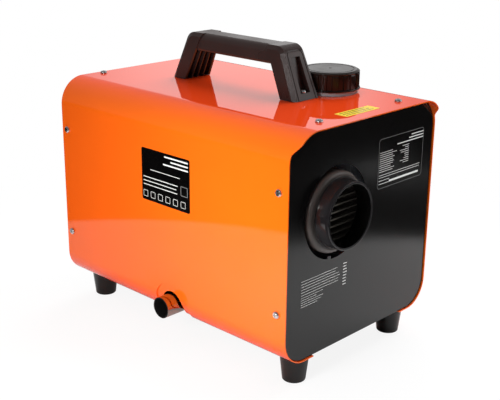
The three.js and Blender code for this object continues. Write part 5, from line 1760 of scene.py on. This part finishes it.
CARRIED = (
    ("base_plate_sheet", "base_plate", 0.3, "black_paint"),
    ("air_inlet_grid", "air_inlet_grille", 0.3, "rear_plastic"),
    ("heater_shell_roof", "heater_shell_upper", 0.4, "shell_plastic"),
    ("heater_shell_tray", "heater_shell_lower", 0.4, "shell_plastic"),
    ("heat_exchanger_casting", "heat_exchanger", 0.4, "cast_metal"),
    ("burner_tube", "burner", 0.2, "raw_steel"),
    ("glow_plug_body", "glow_plug", 0.2, "raw_steel"),
    ("blower_casting", "blower_housing", 0.4, "cast_metal"),
    ("motor_can", "blower_motor", 0.4, "raw_steel"),
    ("rotor_rod", "rotor_shaft", 0.1, "raw_steel"),
    ("blower_wheel", "combustion_fan", 0.2, "shell_plastic"),
    ("fan_wheel", "warm_air_fan", 0.2, "shell_plastic"),
    ("circuit_board", "control_board", 0.1, "board"),
    ("bracket_strap", "heater_bracket", 0.3, "raw_steel"),
    ("intake_silencer", "intake_pipe", 0.3, "shell_plastic"),
    ("fuel_tank_moulding", "fuel_tank", 0.4, "tank_plastic"),
    ("cap_gasket_ring", "cap_gasket", 0.2, "hose_rubber", "rubber"),
    ("tank_elbow", "tank_outlet", 0.2, "shell_plastic"),
    ("tank_hose", "hose_tank_filter", 0.0, "hose_rubber"),
    ("filter_body", "fuel_filter", 0.2, "clear_plastic"),
    ("pump_hose", "hose_filter_pump", 0.0, "hose_rubber"),
    ("dosing_pump_body", "fuel_pump", 0.2, "raw_steel"),
    ("pump_saddle", "pump_mount", 0.4, "rubber"),
    ("fuel_line_tube", "fuel_line", 0.0, "clear_plastic"),
    ("control_housing", "control_panel", 0.4, "nozzle_plastic"),
    ("display_pane", "display_window", 0.2, "display_glass"),
    ("down_key_pad", "down_button", 0.2, "button_rubber"),
    ("power_key_pad", "power_button", 0.2, "button_rubber"),
    ("up_key_pad", "up_button", 0.2, "button_rubber"),
    ("socket_body", "power_socket", 0.3, "rear_plastic"),
    ("wiring_braid", "wiring_loom", 0.0, "loom_braid", "hose_rubber"),
)


@dataclass
class Internals(SubAssembly):
    """Every piece whose CAD shape is right, merged, softened and given its finish."""

    keep_sharp_deg: float = 38.0
    merge_deg: float = 1.0
    weld_m: float = 1e-6

    def soft_copy(self, node: str, name: str, edge_mm: float) -> Piece:
        """Copies a CAD node as a merged mesh with softened edges.

        Args:
            node: the CAD node.
            name: the new piece's name.
            edge_mm: how far the edges are rounded, or 0.

        Returns:
            The copy, in the row frame in metres.
        """
        piece = clean(object_of(name, frame["nodes"][node].data.copy()), self.merge_deg, self.weld_m)
        attributes = piece.data.attributes
        for mark in [a.name for a in attributes if a.name.startswith("custom_normal")]:
            attributes.remove(attributes[mark])
        if edge_mm > 0:
            soften(piece, edge_mm / 1000, angle_deg=self.keep_sharp_deg)
        return piece

    def build(self) -> None:
        """Dresses the pieces that are left."""
        body_of = {node: body for body, nodes in frame["record"]["behaviour"]["bodies"].items() for node in nodes}
        for name, node, edge, finish, *slot in CARRIED:
            piece = self.soft_copy(node, name, edge)
            self.dress(
                piece, finish, *slot, body=body_of[node], nodes=[node], smooth=self.keep_sharp_deg, placed=True,
            )


@dataclass
class Stage:
    """White paper with a lit patch and two pale walls for the paint to mirror, and four lamps in a soft sky."""

    floor_half: float = 20.0
    paper: tuple[float, float] = (0.488, 0.512)
    paper_grey: float = 0.77
    far_grey: float = 0.02
    patch_centre: tuple[float, float, float] = (0.86, -0.84, 0.0)
    patch: tuple[float, float] = (0.35, 0.55)
    shadow: tuple[float, float] = (0.34, 0.62)
    near_glow: float = 0.88
    sky: tuple[float, float] = (0.56, 0.08)
    sky_turn: tuple[float, float] = (-0.1, 0.7)
    mirrored_room: tuple[float, float] = (0.14, 0.42)
    walls: tuple[tuple[float, float, float, float], ...] = ((134.5, 14.0, 0.030, 1.0), (44.0, 14.0, 0.09, 1.6))
    lamps: tuple[tuple, ...] = (
        ("near_lamp", (0.145, -0.45, 0.21), 0.09, 1.35, False),
        ("flash_lamp", (0.393, -1.465, 0.757), 0.13, 2.6, True),
        ("spark_lamp", (0.62, 0.66, 0.05), 0.06, 5.0, False),
        ("top_lamp", (-0.15, 1.2, 1.6), 2.0, 42.0, False),
    )
    aim: tuple[float, float, float] = (0.0, 0.0, 0.15)

    def floor(self) -> None:
        """Lays the floor: white to the camera but for the shadow, and as it is where the paint mirrors it."""
        outline, half = ((-1, -1, 0), (1, -1, 0), (1, 1, 0), (-1, 1, 0)), self.floor_half
        floor = mesh_piece("floor", [Vector(p) * half for p in outline], [[0, 1, 2, 3]])
        material = bpy.data.materials.new("floor_paper")
        w = material_wires(material)
        place = w.get("ShaderNodeTexCoord", out="Object")
        distance = w.length(place)
        off_patch = w.length(w.vector("SUBTRACT", place, self.patch_centre))
        past = w.maths("MINIMUM", w.ramp(distance, *self.paper), w.ramp(off_patch, *self.patch))
        colour = w.blend(past, (self.paper_grey,) * 3, (self.far_grey,) * 3)
        paper, shadowed = (w.get("ShaderNodeBsdfDiffuse", {"Color": shown}) for shown in (colour, WHITE))
        glow = w.get("ShaderNodeEmission", {"Color": WHITE, "Strength": 1.0})
        white = w.either(w.ramp(distance, *self.shadow, self.near_glow, 1.0), shadowed, glow)
        seen = w.get("ShaderNodeLightPath", out="Is Camera Ray")
        w.add("ShaderNodeOutputMaterial", {"Surface": w.either(seen, paper, white)})
        floor.data.materials.append(material)

    def world(self) -> None:
        """Lights the scene from all round, and shows glossy faces a dim room with two pale walls."""
        world = bpy.context.scene.world = bpy.data.worlds.new("studio")
        w = material_wires(world)
        ahead = w.vector("NORMALIZE", w.get("ShaderNodeTexCoord", out="Generated"))
        mirrored = None
        for heading, height, spread, strength in self.walls:
            turn, rise = math.radians(heading), math.radians(height)
            centre = (math.cos(turn) * math.cos(rise), math.sin(turn) * math.cos(rise), math.sin(rise))
            close = w.vector("DOT_PRODUCT", ahead, centre, out="Value")
            mirrored = mirrored or w.ramp(close, 0.0, 0.95, *self.mirrored_room)
            mirrored = w.maths("MAXIMUM", mirrored, w.ramp(close, 1 - spread, 1.0, 0.0, strength))
        level = w.ramp(w.split(ahead)["X"], *self.sky_turn, *self.sky)
        sky, room, white = (
            w.get("ShaderNodeBackground", {"Color": WHITE, "Strength": strength})
            for strength in (level, mirrored, 1.0)
        )
        path = w.add("ShaderNodeLightPath").outputs
        polished = w.maths("MAXIMUM", path["Is Glossy Ray"], path["Is Transmission Ray"])
        shown = w.either(path["Is Camera Ray"], w.either(polished, sky, room), white)
        w.add("ShaderNodeOutputWorld", {"Surface": shown})

    def lamp(self, name: str, place: Point, size: float, watts: float, mirrored: bool) -> None:
        """Hangs one soft lamp that points at the heater and that the camera doesn't see.

        Args:
            name: the lamp's name.
            place: where it hangs, in the row frame.
            size: the length of its side.
            watts: its power.
            mirrored: whether glossy faces show it.
        """
        data = bpy.data.lights.new(name, "AREA")
        data.shape, data.size, data.energy = "SQUARE", size, watts
        lamp = object_of(name, data)
        lamp.location = place
        lamp.visible_camera, lamp.visible_glossy = False, mirrored
        lamp.rotation_mode = "QUATERNION"
        lamp.rotation_quaternion = (Vector(self.aim) - Vector(place)).to_track_quat("-Z", "Y")

    def build(self) -> None:
        """Sets the stage."""
        bpy.context.scene.view_settings.view_transform = "Standard"
        self.floor()
        self.world()
        for lamp in self.lamps:
            self.lamp(*lamp)


@dataclass(frozen=True)
class PhotoCamera:
    """The camera that took the photograph, as measured from it."""

    place: tuple[float, float, float] = (936.38, -779.66, 475.48)
    yaw: float = 0.7610699
    pitch: float = 0.3233479
    roll: float = 0.0114667
    focal_px: float = 965.8935
    width_px: float = 500.0
    sensor_mm: float = 36.0
    clip: tuple[float, float] = (0.05, 50.0)

    def build(self, origin: Vector) -> None:
        """Stands the camera in the scene.

        Args:
            origin: where the casing's frame starts in the row frame.
        """
        data = bpy.data.cameras.new("photo_camera")
        data.sensor_fit, data.sensor_width = "HORIZONTAL", self.sensor_mm
        data.lens = self.focal_px / self.width_px * self.sensor_mm
        data.clip_start, data.clip_end = self.clip
        data.dof.use_dof = False
        camera = object_of("photo_camera", data)
        level = math.cos(self.pitch)
        back = Vector((math.sin(self.yaw) * level, -math.cos(self.yaw) * level, math.sin(self.pitch)))
        right = UP.cross(back).normalized()
        up = back.cross(right)
        c, s = math.cos(self.roll), math.sin(self.roll)
        turn = Matrix((right * c + up * s, up * c - right * s, back)).transposed().to_4x4()
        camera.matrix_world = Matrix.Translation(Vector(self.place) / 1000 + origin) @ turn
        bpy.context.scene.camera = camera


def main() -> None:
    """Builds the stage, the camera and every group of pieces in order."""
    low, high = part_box("casing_wrap")
    origin = Vector((low.x, (low.y + high.y) / 2, low.z))
    finishes = build_finishes()
    Stage().build()
    PhotoCamera().build(origin)
    groups: tuple[Callable[..., SubAssembly], ...] = (
        Casing, Feet, Handle, Outlet, FuelCap, Exhaust, Labels, Controls, Internals,
    )
    for group in groups:
        group(origin, finishes).build()
        LOG.info("%s is built", group.__name__)


if __name__ == "__main__":
    logging.basicConfig(level=logging.INFO)
    main()
